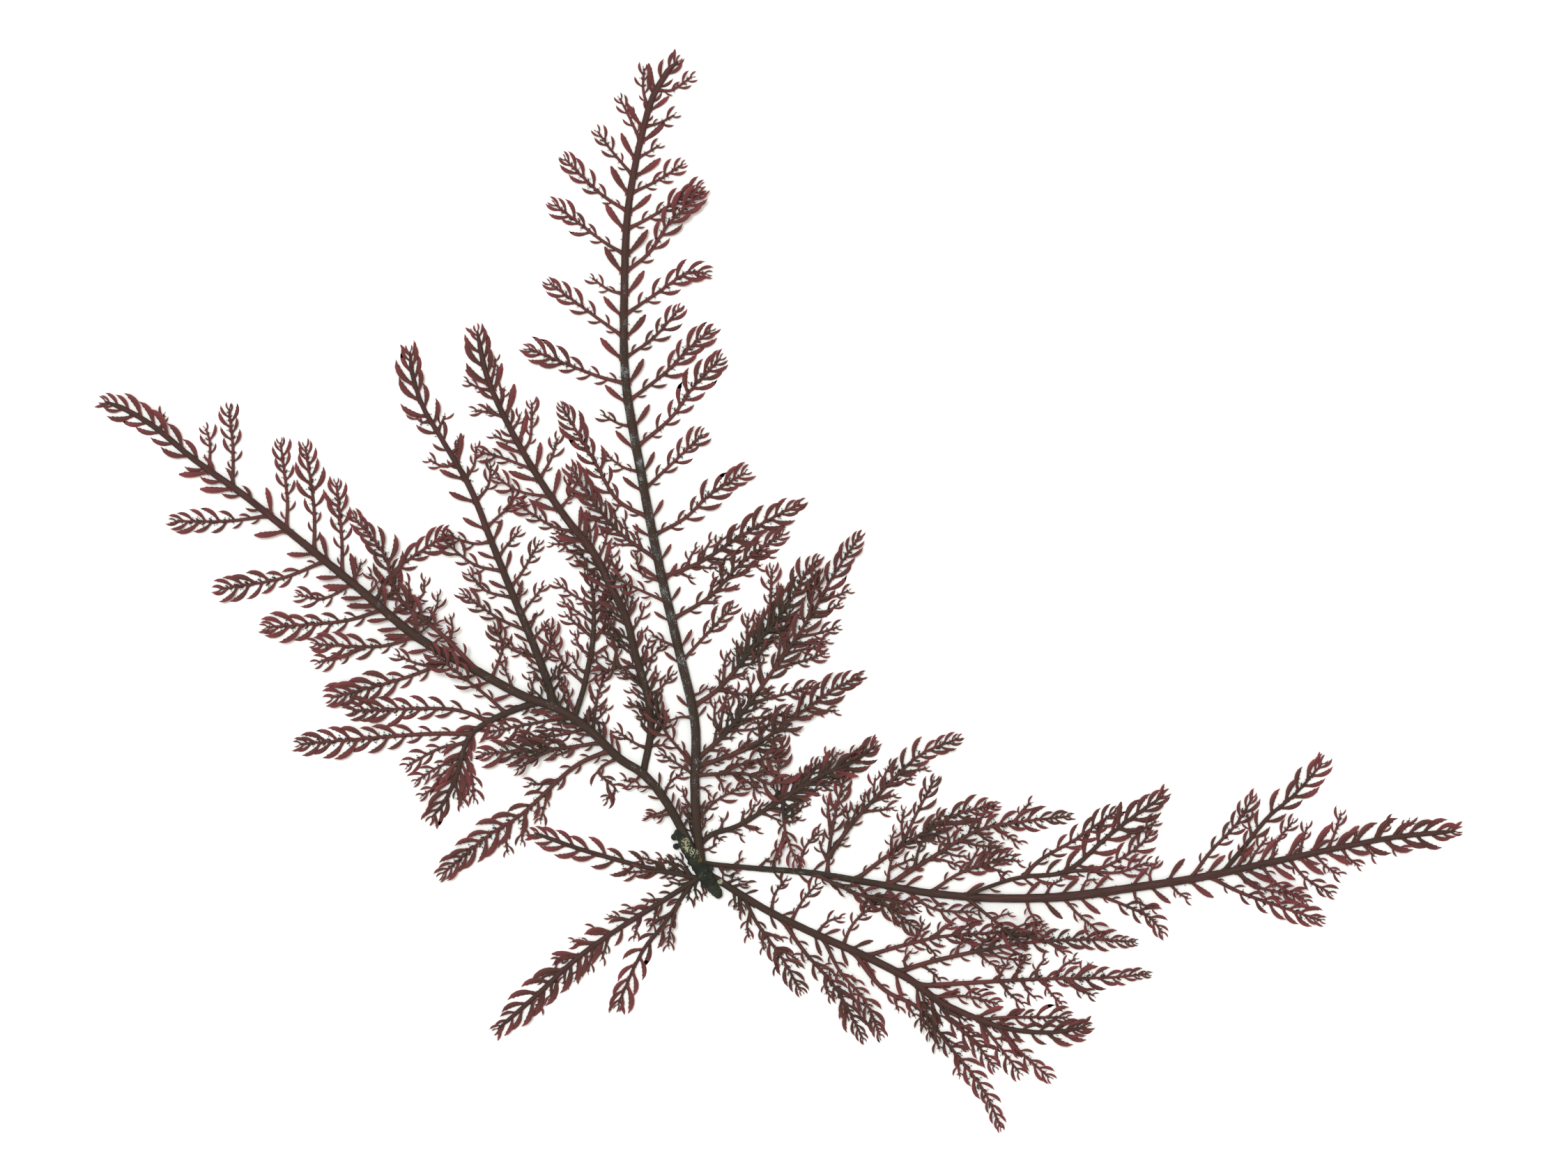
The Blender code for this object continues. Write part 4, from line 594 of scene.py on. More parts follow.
# %% The small lower frond
SMALL_LOWER_STEMS = (
    ((0.9, 0.9, 0.5),
     ((-3.2, -1.6), (-9.9, -11.3), (-13.7, -16), (-16.3, -20.7), (-18.2, -25), (-19.9, -29))),
)
SMALL_LOWER_SPRAYS = (
    ((-6.5, -6.4), (-8, -10.9), (-8.8, -16)),
    ((-8, -8.6), (-10.6, -9.8), (-12.8, -11.4)),
)
tell("the small lower frond", SMALL_LOWER_STEMS, SMALL_LOWER_SPRAYS)

# %% The short left frond
SHORT_LEFT_STEMS = (
    ((1.0, 1.1, 0.8),
     ((-1.4, -0.9), (-10.3, 0.75), (-19.3, 3), (-28.3, 5.6), (-34.3, 7.7), (-38.4, 9.2))),
)
SHORT_LEFT_SPRAYS = (
    ((-9.4, 0.4), (-14, 0.7), (-18.2, 0.4)),
    ((-10.6, 0.8), (-11.6, 2.8), (-14.8, 3.7)),
)
tell("the short left frond", SHORT_LEFT_STEMS, SHORT_LEFT_SPRAYS)

# %% [markdown]
# ## Small sprays in the thick of the plant
#
# The tables above are the plant's skeleton, and the solid model has them too. In the
# thickest parts small sprays grow out between the large ones and lie over each other,
# which the eye reads as dark tufts. They are too small and too many for the solid
# model, so they are listed apart and grow on top of it here.

# %% Small sprays at the crown frond's foot
SMALL_SPRAYS = {
    "crown_frond": (
        ((-2, 7), (-3.4, 9), (-4, 11.4)), ((-2.2, 9), (-0.9, 10.4), (-0.3, 12.6)),
        ((-2.3, 10), (-3.8, 12), (-4.2, 14)), ((-1.8, 6), (-0.2, 7.6), (1, 9.4)),
        ((-1.7, 5.4), (0.4, 5.6), (2, 6.8)),
        ((-2.9, 39.6), (-1.2, 40.6), (0.1, 42)), ((3.2, 42.2), (2.6, 43.4), (1.8, 44.2)),
        ((6.8, 46.8), (6.6, 49.2), (6.5, 51.6)), ((11, 52), (11.2, 55), (11.4, 58)),
        ((7, 46.6), (8.8, 46.6), (10.8, 47.2)), ((9.4, 49.2), (11.6, 49.6), (13.6, 50.6)),
        ((11.6, 52), (13.8, 52), (16, 53)), ((13.4, 54.4), (15.4, 54.2), (17.6, 54.8)),
        ((9.2, 38.2), (9.6, 41.4), (8.8, 44)), ((7.2, 35.8), (7, 38.6), (6.2, 41.2)),
        ((5.4, 33.6), (5, 36.4), (4.6, 38.6)), ((2.2, 31.8), (1.6, 34.8), (1.8, 38.4)),
        ((2.8, 32.2), (3.4, 36), (4.6, 41.4)), ((19.4, 51.2), (23.4, 51.4), (26.6, 51.9)),
        ((17.6, 49), (21, 50), (25, 50.6)), ((11.6, 30.2), (11.4, 32.6), (11.2, 34.4)),
        ((14.8, 32.4), (14.6, 34.2), (14.2, 36)), ((17, 33.8), (16.8, 35), (16.6, 36.2)),
        ((14.8, 32), (17.6, 32), (20.2, 32)), ((19.4, 34.6), (20.8, 34.8), (22.2, 35.4)),
        ((-2.6, 24.4), (0.8, 25), (4.4, 26.8)), ((1.6, 22.4), (3, 20.6), (3.6, 18.4)),
        ((4.4, 22.6), (5.8, 24.2), (8.4, 24.6)), ((6, 22.4), (9, 20.6), (11.8, 18)),
        ((9.8, 21.6), (12, 23), (14.4, 24.2)), ((8.8, 28.4), (11.6, 28.8), (14.6, 28.4)),
        ((9.6, 28.8), (12.4, 29.9), (15.4, 30)), ((10.4, 27.2), (13, 27), (16, 27.6)),
        ((5.8, 26), (8, 28.6), (9.4, 30.2)), ((11.4, 25.5), (13.2, 22.8), (15.6, 21.6)),
        ((-2.6, 18.8), (-0.9, 19.4), (0.8, 17.4)), ((-2.6, 16.4), (-1.4, 14.8), (0.2, 15)),
    ),
    "low_right_branch": (
        ((0.8, 9), (2.2, 8), (3.4, 7.6)), ((3, 10), (3.4, 11.4), (3, 12.6)),
        ((4.4, 10), (6.2, 9.4), (7.8, 8.6)), ((7.6, 11.2), (7.8, 12.6), (8.2, 14.2)),
        ((8, 11), (9.6, 10), (11.4, 10)), ((11, 13.4), (11.6, 14.8), (12.4, 16)),
        ((12.4, 13.6), (14.6, 12.6), (16.4, 11.8)), ((14, 15), (15.2, 17.4), (15.4, 19)),
        ((16, 16.4), (17.4, 15.6), (19.4, 13.6)), ((17.6, 17.4), (19.6, 17), (22.4, 16.4)),
        ((18.6, 18), (20.4, 19.6), (21.4, 22.4)), ((20.4, 18.9), (22.4, 21.4), (25, 24.6)),
        ((21.8, 20), (24, 20), (27.4, 19.8)), ((24.6, 21.9), (27, 21.6), (29.4, 21.8)),
        ((25.6, 22.4), (29.2, 24), (32.6, 25.6), (37, 28.6)), ((26, 22.6), (27.6, 25.4), (29.2, 27.2)),
        ((28.4, 23.4), (31, 26), (33, 27.6)), ((16.8, 13.4), (18.4, 14.4), (20.4, 15.6)),
        ((17, 11.6), (19, 11.6), (20.6, 12.6)),
    ),
}
print(sum(len(sprays) for sprays in SMALL_SPRAYS.values()), "small sprays")

# %% Small sprays on the left
SMALL_SPRAYS.update({
    "left_frond": (
        ((-6.6, 11.4), (-6, 13.4), (-4.8, 15.4)),
        ((-6, 10.4), (-4.6, 11.8), (-3.6, 13.8)), ((-7.8, 13.6), (-10.4, 13), (-13.6, 12.8)),
        ((-78.5, 65), (-77.6, 67.5), (-77, 69.5)), ((-75.5, 62.8), (-73.5, 64.8), (-75.2, 66.8)),
        ((-72.8, 60.5), (-70.6, 62.4), (-68.4, 63)), ((-70, 58), (-68, 60.2), (-66, 61)),
        ((-67.4, 56), (-65, 58), (-62.6, 58.5)), ((-64, 53.6), (-62, 55.2), (-59.6, 55.5)),
        ((-61, 51.5), (-59, 52.8), (-56.5, 52.6)), ((-66.2, 61.8), (-66.4, 64), (-67.1, 65)),
        ((-64.6, 60), (-63.4, 62), (-63, 65.6)), ((-61.2, 57.2), (-60.2, 59.4), (-59.9, 62.4)),
        ((-73.2, 62.6), (-72.2, 64.6), (-70.4, 65.6)), ((-71, 60.2), (-69.6, 62.6), (-69.8, 65)),
        ((-68.6, 58), (-66.4, 59.2), (-64.2, 60.6)), ((-65.2, 55), (-63.4, 56.4), (-61, 57)),
        ((-54.8, 24.6), (-57.6, 23.4), (-60.4, 21)), ((-55.4, 23.4), (-53.6, 20.6), (-53.2, 17.6)),
        ((-30.6, 33), (-33.6, 32.4), (-37, 31.8)), ((-32, 28.6), (-34.6, 30), (-38, 29.4)),
        ((-36, 28), (-38.8, 29.6), (-42, 30.6)), ((-29, 29), (-31.4, 27.2), (-34, 26.4)),
        ((-37, 27.6), (-39.4, 26.2), (-42.4, 26.4)), ((-40, 27.4), (-42.4, 28.6), (-45.4, 29.4)),
        ((-33, 37.2), (-31.8, 40), (-32.6, 43.4)), ((-31.4, 36.4), (-30.8, 39), (-31.6, 42)),
        ((-34.6, 38.4), (-35.6, 41), (-35.2, 44)), ((-27.4, 34.6), (-25.4, 36.4), (-24.4, 39.6)),
        ((-26.4, 33.8), (-24.6, 34.4), (-22.4, 37)), ((-11.6, 18.8), (-14, 19.5), (-17, 19.6)),
    ),
    "outer_left_frond": (
        ((-40.6, 55.4), (-38.6, 56.6), (-37.9, 58.1)), ((-42.6, 60), (-41.5, 62.5), (-41.3, 64.3)),
        ((-37.6, 48.2), (-39.2, 48.8), (-41.8, 50.6)), ((-37.3, 47), (-35.8, 48), (-34.5, 48.5)),
        ((-36.6, 45), (-38.3, 45.5), (-39.8, 46.8)), ((-36.1, 43.2), (-37.6, 43.2), (-38.5, 43.8)),
        ((-35.8, 42.8), (-34.4, 43.8), (-33.6, 46.5)), ((-35.3, 41), (-33.9, 41.4), (-32.3, 43.9)),
    ),
    "inner_left_frond": (
        ((-12.6, 29), (-10.8, 28.6), (-9.4, 29)), ((-12.2, 31), (-10.4, 33), (-9.6, 35.6)),
        ((-12.4, 34.6), (-11, 36.4), (-11.4, 39.8)), ((-12.6, 33.4), (-14, 34.8), (-15.8, 35.2)),
        ((-13, 36.4), (-15.2, 37), (-17.4, 38.4)), ((-13.4, 40.8), (-15.6, 42.6), (-18.4, 44.4)),
        ((-13.4, 42.8), (-15.8, 44), (-19.4, 45)), ((-19.6, 46), (-21.6, 47.4), (-23.6, 48.8)),
        ((-20.8, 46.2), (-20.4, 49.4), (-19.4, 51.4)), ((-22.4, 45), (-24.4, 47), (-26, 48.6)),
        ((-19.8, 47), (-20.6, 51), (-22.6, 55.6)),
    ),
})
print(sum(len(sprays) for sprays in SMALL_SPRAYS.values()), "small sprays")

# %% Small sprays on the right and below
SMALL_SPRAYS.update({
    "right_frond": (
        ((2.6, 2), (4.2, 1), (6.2, 1.6)), ((2.4, 2), (3.6, 0), (5.8, -0.4)),
        ((6, 1.8), (7, 3), (8, 3.6)), ((11.4, 1.4), (12.6, 2.8), (13.8, 3.6)),
        ((26.8, 3.4), (25.4, 5.4), (25, 7.4)), ((27.8, 8.6), (27, 12), (26.8, 16.8)),
        ((27.4, 5), (28.6, 6), (30.4, 6.8)), ((31.8, 10.6), (32.6, 13), (33.4, 15.6)),
        ((34.8, 14), (34.8, 16.4), (35.2, 18.4)), ((37.2, 16.4), (37, 19), (37.4, 21.4)),
        ((39.8, 19.8), (42.6, 20.4), (45.6, 21.4)), ((42.6, 22.6), (45.6, 23), (48.8, 23.6)),
        ((39.4, 19.6), (39.4, 22), (41, 24.6)), ((44.2, 7.4), (43.2, 10.6), (43.8, 14.4)),
        ((41, 5), (40.8, 7.6), (41.8, 9.8)), ((44.6, 6.8), (47.4, 7.2), (50.2, 7.6)),
        ((47, 8.6), (50, 9), (53, 9.4)), ((49.4, 9.8), (50.4, 12), (52.6, 13.4)),
        ((53.4, 6), (51.6, 7.4), (51, 9.6)), ((52.8, 5), (55, 4.2), (57.6, 4)),
        ((42.6, -1), (45, 1.4), (47.6, 2.2)), ((28.4, -1.8), (31, -2.4), (33.6, -2.2)),
        ((31.6, -3.4), (33.6, -5), (35.6, -7.4)), ((36, -5.2), (39, -4.6), (42.4, -4.8)),
        ((38.6, -6.4), (41.4, -7.6), (44.2, -7.2)), ((40.4, -7.6), (41.6, -9.6), (43.4, -11.2)),
        ((63.6, -10), (65.4, -9), (67.4, -8.6)), ((66, -11.6), (68, -14), (70.2, -15.6)),
        ((67.6, -13), (70.4, -13.6), (73.4, -13.6)), ((67.4, -12.6), (69.8, -11.2), (72.4, -10.8)),
    ),
    "lower_right_frond": (
        ((4, -2.4), (5.6, -1.4), (7.4, -1)), ((5.2, -3.2), (7.2, -2.2), (9, -2.4)),
        ((7.6, -4.6), (7.4, -6.6), (8, -8.4)), ((6, -3.6), (6, -5.6), (6.4, -7.4)),
        ((50, -14.2), (52, -12.4), (54.6, -11)), ((55, -13.4), (57, -11.8), (59.4, -10.6)),
        ((55.6, -13.6), (57.4, -15), (59.6, -15.8)), ((60, -17), (61.6, -15), (63.8, -13.8)),
        ((63, -16.4), (64.4, -14.4), (67, -13.4)), ((66, -34), (71, -35), (76, -35.2), (84, -34)),
        ((52.6, -30.4), (55, -31), (57.6, -32.6)), ((54, -32.6), (56.6, -33.6), (59.4, -35.6)),
        ((55.8, -34.2), (58.4, -36), (61, -38.2)), ((49.4, -29), (51.2, -31), (52, -33.4)),
        ((48.6, -28), (47.4, -31), (47.6, -34)), ((52, -36), (54.4, -37.4), (57, -38.6)),
        ((24, -19.6), (26.6, -20.6), (28.6, -22.6)), ((26.4, -22.6), (26.2, -25), (27.4, -27.4)),
        ((29.4, -26.6), (30.4, -29), (30.6, -31.4)), ((30, -22.4), (32, -22.6), (33, -24)),
    ),
    "lower_left_frond": (
        ((-2.4, -1), (-2.8, -3.4), (-2.2, -5.6)), ((-3, -1.4), (-4, -3.6), (-4.4, -5.8)),
        ((-1.4, -0.4), (-1.2, -2.8), (-0.4, -4.8)), ((-4, -2), (-6.4, -2.2), (-8.4, -1.6)),
    ),
    "short_left_frond": (
        ((-4, -0.2), (-6, 1.8), (-9, 3)), ((-3.4, -0.4), (-5, 2), (-7, 3.8)),
        ((-4.6, -0.2), (-7.2, 0.6), (-10.4, 0.8)), ((-5.4, 0), (-8, 2.2), (-10.6, 3.6)),
    ),
})
print(sum(len(sprays) for sprays in SMALL_SPRAYS.values()), "small sprays")

# %% [markdown]
# ## Which frond has which courses
#
# The fronds are grown in this order. It decides their random draws, and nothing else.

# %% Which frond has which courses
FRONDS = {
    "lower_right_frond": (LOWER_RIGHT_STEMS, LOWER_RIGHT_SPRAYS),
    "right_frond": (RIGHT_STEMS, RIGHT_SPRAYS),
    "left_frond": (LEFT_STEMS, LEFT_SPRAYS),
    "outer_left_frond": (OUTER_LEFT_STEMS, OUTER_LEFT_SPRAYS),
    "middle_left_frond": (MIDDLE_LEFT_STEMS, MIDDLE_LEFT_SPRAYS),
    "inner_left_frond": (INNER_LEFT_STEMS, INNER_LEFT_SPRAYS),
    "short_left_frond": (SHORT_LEFT_STEMS, SHORT_LEFT_SPRAYS),
    "lower_left_frond": (LOWER_LEFT_STEMS, LOWER_LEFT_SPRAYS),
    "small_lower_frond": (SMALL_LOWER_STEMS, SMALL_LOWER_SPRAYS),
    "low_right_branch": (LOW_RIGHT_STEMS, LOW_RIGHT_SPRAYS),
    "crown_frond": (CROWN_STEMS, CROWN_SPRAYS),
}
print(sum(len(sprays) for _, sprays in FRONDS.values()), "sprays on", len(FRONDS), "fronds")

# %% [markdown]
# ## Courses over the solid model
#
# Each row of points becomes a smooth course with a station every 0.8 mm. The solid
# model already knows which frond lies over which, so the course takes its height
# from there: a ray is shot down at each station, and a running median drops the
# short bumps where another spray of the same frond passes over.

# %% Smooth courses
STATION = 0.8


def smooth_course(points, step=STATION):
    """Even stations along a Catmull-Rom curve through the points."""
    pts = np.array(points, dtype=float)
    pts = np.vstack([2 * pts[0] - pts[1], pts, 2 * pts[-1] - pts[-2]])
    dense = []
    for p0, p1, p2, p3 in zip(pts, pts[1:], pts[2:], pts[3:]):
        for t in np.linspace(0.0, 1.0, 24, endpoint=False):
            dense.append(0.5 * (2 * p1 + (p2 - p0) * t + (2 * p0 - 5 * p1 + 4 * p2 - p3) * t**2
                                + (3 * p1 - p0 - 3 * p2 + p3) * t**3))
    dense.append(pts[-2])
    dense = np.array(dense)
    along = np.concatenate([[0.0], np.cumsum(np.hypot(*np.diff(dense, axis=0).T))])
    count = max(4, int(round(along[-1] / step)) + 1)
    at = np.linspace(0.0, along[-1], count)
    return np.column_stack([np.interp(at, along, dense[:, 0]), np.interp(at, along, dense[:, 1])])


print("the crown stem has", len(smooth_course(CROWN_STEMS[0][1])), "stations")

# %% Heights
RIB_THICK = 0.62
RAY_START = 0.05
DOWN = Vector((0.0, 0.0, -1.0))


def surface_of(node):
    """A tree for rays onto a node of the solid model."""
    mesh = frame["nodes"][node].data
    mesh.calc_loop_triangles()
    corners = [v.co[:] for v in mesh.vertices]
    return BVHTree.FromPolygons(corners, [t.vertices[:] for t in mesh.loop_triangles])


def heights(surface, xy, thick):
    """The height of a course's middle at each station, in millimetres."""
    found = []
    for x, y in xy * MM:
        hit = surface.ray_cast(Vector((x, y, RAY_START)), DOWN)[0]
        found.append(np.nan if hit is None else hit.z / MM)
    found = np.array(found)
    known = ~np.isnan(found)
    if known.any():
        spots = np.arange(len(found))
        found = np.interp(spots, spots[known], found[known])
    else:
        found = np.full(len(found), RIB_THICK)
    wide = np.pad(found, 4, mode="edge")
    middle = np.array([np.median(wide[k:k + 9]) for k in range(len(found))])
    wide = np.pad(middle, 2, mode="edge")
    middle = np.array([np.mean(wide[k:k + 5]) for k in range(len(found))])
    return np.maximum(middle - 0.5 * thick, 0.5 * np.minimum(thick, RIB_THICK))


crown_heights = heights(surface_of("crown_frond"), smooth_course(CROWN_STEMS[0][1]), RIB_THICK)
print("the crown stem's middle lies at most", round(crown_heights.max(), 2), "mm high")

# %% [markdown]
# ## One course
#
# A course keeps what every later step asks of it: where it runs, how wide it is, how
# high it lies, and which other courses it bears. A stem tapers from foot to tip as
# its table says. The rib of a spray is thin, and a little thicker where it is long.

# %% One course
STEM_THICK = 0.85
THINNEST_STEM = 0.81
RIB_TIP = 0.42


class Course:
    """One stem or spray: stations, width and height, in millimetres."""

    def __init__(self, surface, points, widths=None):
        self.is_stem = widths is not None
        self.is_end = False
        self.xy = smooth_course(points)
        self.along = np.concatenate([[0.0], np.cumsum(np.hypot(*np.diff(self.xy, axis=0).T))])
        self.length = self.along[-1]
        if self.is_stem:
            spots = (0.0, 0.5 * self.length, self.length - 3.0, self.length)
            foot, middle, tip = widths
            self.width = np.interp(self.along, spots, (foot, middle, 1.1 * tip, 0.45 * tip))
            thick = np.maximum(THINNEST_STEM, STEM_THICK * self.width)
        else:
            foot = min(1.15, 0.6 + 0.013 * self.length)
            self.width = np.interp(self.along, (0.0, self.length), (foot, RIB_TIP))
            thick = RIB_THICK
        self.z = heights(surface, self.xy, thick)
        self.children = []

    def at(self, s):
        """The place and direction at a length from the foot."""
        s = min(max(s, 0.0), self.length)
        a, b = max(s - 0.6, 0.0), min(s + 0.6, self.length)
        place, before, after = (np.array([np.interp(t, self.along, self.xy[:, k]) for k in (0, 1)])
                                for t in (s, a, b))
        return place, (after - before) / np.linalg.norm(after - before)

    def nearest(self, point):
        """The length along the course, and the distance, of the station nearest a point."""
        gap = np.hypot(*(self.xy - np.array(point)).T)
        best = int(np.argmin(gap))
        return self.along[best], gap[best]


trial = Course(surface_of("right_frond"), RIGHT_STEMS[0][1], RIGHT_STEMS[0][0])
print("the right stem is", round(trial.length, 1), "mm long and", round(trial.width.max(), 2), "mm wide")

# %% The drawn courses of a frond
EASE_IN = 3.0


def bearer_of(grown, point):
    """The course that passes nearest a point, and the length along it."""
    bearer = min(grown, key=lambda course: course.nearest(point)[1])
    return bearer, bearer.nearest(point)[0]


def courses_of(node):
    """All drawn courses of a frond: the stems first, then each spray from what bears it."""
    stems, sprays = FRONDS[node]
    sprays = sprays + SMALL_SPRAYS.get(node, ())
    surface = surface_of(node)
    grown = []
    for widths, points in stems:
        if grown:
            bearer, s = bearer_of(grown, points[0])
            points = (tuple(bearer.at(s)[0]),) + tuple(points[1:])
        grown.append(Course(surface, points, widths))
    for points in sprays:
        bearer, s = bearer_of(grown, points[0])
        course = Course(surface, (tuple(bearer.at(s)[0]),) + tuple(points[1:]))
        foot_z = np.interp(s, bearer.along, bearer.z)
        near = np.clip(1.0 - course.along / EASE_IN, 0.0, 1.0)
        course.z = course.z + near * (foot_z - course.z[0])
        bearer.children.append((s, course))
        grown.append(course)
    return grown


DRAWN = {node: courses_of(node) for node in FRONDS}
print(sum(len(grown) for grown in DRAWN.values()), "drawn courses")

# %% [markdown]
# ## What grows by rule on those courses
#
# Three things are too many to list. The longest branches bear short sprays by turns
# left and right, wherever none is drawn yet. In a few stretches the sprays are crowded
# into a tuft, which the blade material darkens with painted shade. And the last stretch
# of every stem bears blades as a spray does, so a course is laid over it too.

# %% Side sprays
BRANCHED = ("crown_frond", "right_frond")
LONG_BRANCH = 40.0
SIDE_PITCH = 4.4


def side_of(stem, s, child):
    """Which side of a course another one leaves to: 1 for left, -1 for right."""
    here, ahead = stem.at(s)
    away = child.at(min(3.0, child.length))[0] - here
    return 1 if ahead[0] * away[1] - ahead[1] * away[0] > 0 else -1


def sprout(surface, bearer, s, side, length, dice):
    """A short spray that leaves its bearer at a length from the foot and bends forward."""
    here, ahead = bearer.at(s)
    lean = math.atan2(ahead[1], ahead[0]) + side * math.radians(dice.uniform(38.0, 54.0))
    middle = here + 0.5 * length * np.array([math.cos(lean), math.sin(lean)])
    lean -= side * math.radians(14.0)
    end = middle + 0.5 * length * np.array([math.cos(lean), math.sin(lean)])
    course = Course(surface, (tuple(here), tuple(middle), tuple(end)))
    course.z = course.z + np.interp(s, bearer.along, bearer.z) - course.z[0]
    return course


def side_sprays(surface, branch, dice):
    """Short sprays by turns left and right along a long branch, where none is drawn yet."""
    taken = [(s, side_of(branch, s, child)) for s, child in branch.children]
    grown = []
    side = dice.choice((1, -1))
    s = 0.16 * branch.length
    while s < 0.8 * branch.length:
        if all(abs(s - t) > 2.6 or side != other for t, other in taken):
            length = min(12.0, 3.5 + 0.2 * (branch.length - s)) * dice.uniform(0.8, 1.15)
            grown.append(sprout(surface, branch, s, side, length, dice))
            branch.children.append((s, grown[-1]))
        s += SIDE_PITCH * dice.uniform(0.85, 1.2)
        side = -side
    return grown


print("long branches:", sum(c.length > LONG_BRANCH and not c.is_stem for n in BRANCHED for c in DRAWN[n]))

# %% Tufts
TUFT_PITCH = 1.7
TUFTS = {
    "inner_left_frond": (((-15.5, 47), (-28, 74), 6.5), ((-13, 30), (-15, 45), 4.5)),
    "crown_frond": (((-1, 60.9), (10, 71.5), 4.5), ((5, 44), (17, 59), 4.5), ((-6, 67.5), (6, 74.4), 4.5),
                    ((-15, 72.6), (-26, 84), 4.0), ((0, 28), (8, 36), 4.0)),
    "low_right_branch": (((14, 15), (27, 22.7), 5.0),),
    "left_frond": (((-24, 29.9), (-38, 39.5), 4.5),),
}


def tuft(surface, grown, start, end, length, dice):
    """Crowded sprays on both sides of the course that runs between two places."""
    bearer = min(grown, key=lambda course: course.nearest(start)[1] + course.nearest(end)[1])
    low, high = (bearer.nearest(point)[0] for point in (start, end))
    count = int((high - low) / TUFT_PITCH) + 1
    return [sprout(surface, bearer, s, 1 if k % 2 else -1, length * dice.uniform(0.7, 1.2), dice)
            for k, s in enumerate(np.linspace(low, high, count))]


print(sum(len(rows) for rows in TUFTS.values()), "tufts")

# %% Leafy ends
LEAFY_END = {
    "left_frond": 48.0, "outer_left_frond": 34.0, "middle_left_frond": 22.0, "inner_left_frond": 30.0,
    "short_left_frond": 39.0, "lower_left_frond": 58.0, "small_lower_frond": 30.0, "right_frond": 48.0,
    "lower_right_frond": 24.0, "low_right_branch": 24.0, "crown_frond": 18.0,
}


def leafy_end(surface, stem, reach):
    """A course over the last stretch of a stem."""
    start = max(0.0, stem.length - reach)
    course = Course(surface, [tuple(stem.at(s)[0]) for s in np.linspace(start, stem.length, 7)])
    course.z = np.interp(start + course.along, stem.along, stem.z)
    course.is_end = True
    return course


def all_courses_of(node, dice):
    """A frond's drawn courses, and what grows by rule on them."""
    drawn = DRAWN[node]
    surface = surface_of(node)
    grown = list(drawn)
    if node in BRANCHED:
        for branch in [c for c in drawn if not c.is_stem and c.length > LONG_BRANCH]:
            grown += side_sprays(surface, branch, dice)
    for start, end, length in TUFTS.get(node, ()):
        grown += tuft(surface, drawn, start, end, length, dice)
    for stem in [c for c in drawn if c.is_stem]:
        grown.append(leafy_end(surface, stem, LEAFY_END[node]))
    return grown


COURSES = {node: all_courses_of(node, random.Random(SEED + k)) for k, node in enumerate(FRONDS)}
print(round(sum(c.length for grown in COURSES.values() for c in grown) / 1000, 2), "m of stems and sprays")

# %% [markdown]
# ## Finishes: effects that several materials share
#
# Dried alga is never one flat red. Two effects are used by more than one material,
# so each is a shader group, made once. The first mottles a colour: slow patches where
# the plant dried darker, and a fine grain of cells. The second is the grey-white crust
# of tiny animals and lime on old stems: specks that thin out where its amount is low.
#
# Node trees are easier to read when one line makes one node with all its inputs, so
# a few helpers come first. They serve the materials and the Geometry Nodes alike.

# %% Helpers for nodes
def place(tree, kind, sockets=None, **settings):
    """A new node, with its settings, and its inputs given as values or as links."""
    made = tree.nodes.new(kind)
    for name, value in settings.items():
        setattr(made, name, value)
    for name, value in (sockets or {}).items():
        if isinstance(value, bpy.types.NodeSocket):
            tree.links.new(value, made.inputs[name])
        else:
            made.inputs[name].default_value = value
    return made


def calc(tree, operation, *values, clamp=False):
    """The result of a Math node on values or sockets."""
    return place(tree, "ShaderNodeMath", dict(enumerate(values)),
                 operation=operation, use_clamp=clamp).outputs[0]


def scaled(tree, vector, factor):
    """A vector times a number."""
    return place(tree, "ShaderNodeVectorMath", {0: vector, "Scale": factor}, operation="SCALE").outputs[0]


def span(tree, value, low, high):
    """A number's place between two others, from 0 to 1."""
    return place(tree, "ShaderNodeMapRange", {"Value": value, "From Min": low, "From Max": high}).outputs[0]


def blend(tree, share, first, second):
    """A colour between two, each a socket or a value."""
    return place(tree, "ShaderNodeMix", {0: share, 6: first, 7: second}, data_type="RGBA").outputs[2]


def new_group(name, kind, inputs, outputs):
    """A node group with named sockets, each (name, socket kind) or (name, socket kind, value)."""
    group = bpy.data.node_groups.new(name, kind)
    for in_out, sockets in (("INPUT", inputs), ("OUTPUT", outputs)):
        for socket in sockets:
            made = group.interface.new_socket(socket[0], in_out=in_out,
                                              socket_type="NodeSocket" + socket[1])
            if len(socket) > 2:
                made.default_value = socket[2]
    return group, group.nodes.new("NodeGroupInput").outputs, group.nodes.new("NodeGroupOutput").inputs


def describe(tree):
    """Prints which inputs a group or tree takes."""
    print(tree.name, "takes", [s.name for s in tree.interface.items_tree if s.in_out == "INPUT"])


print("helpers:", [helper.__name__ for helper in (place, calc, scaled, span, blend, new_group, describe)])


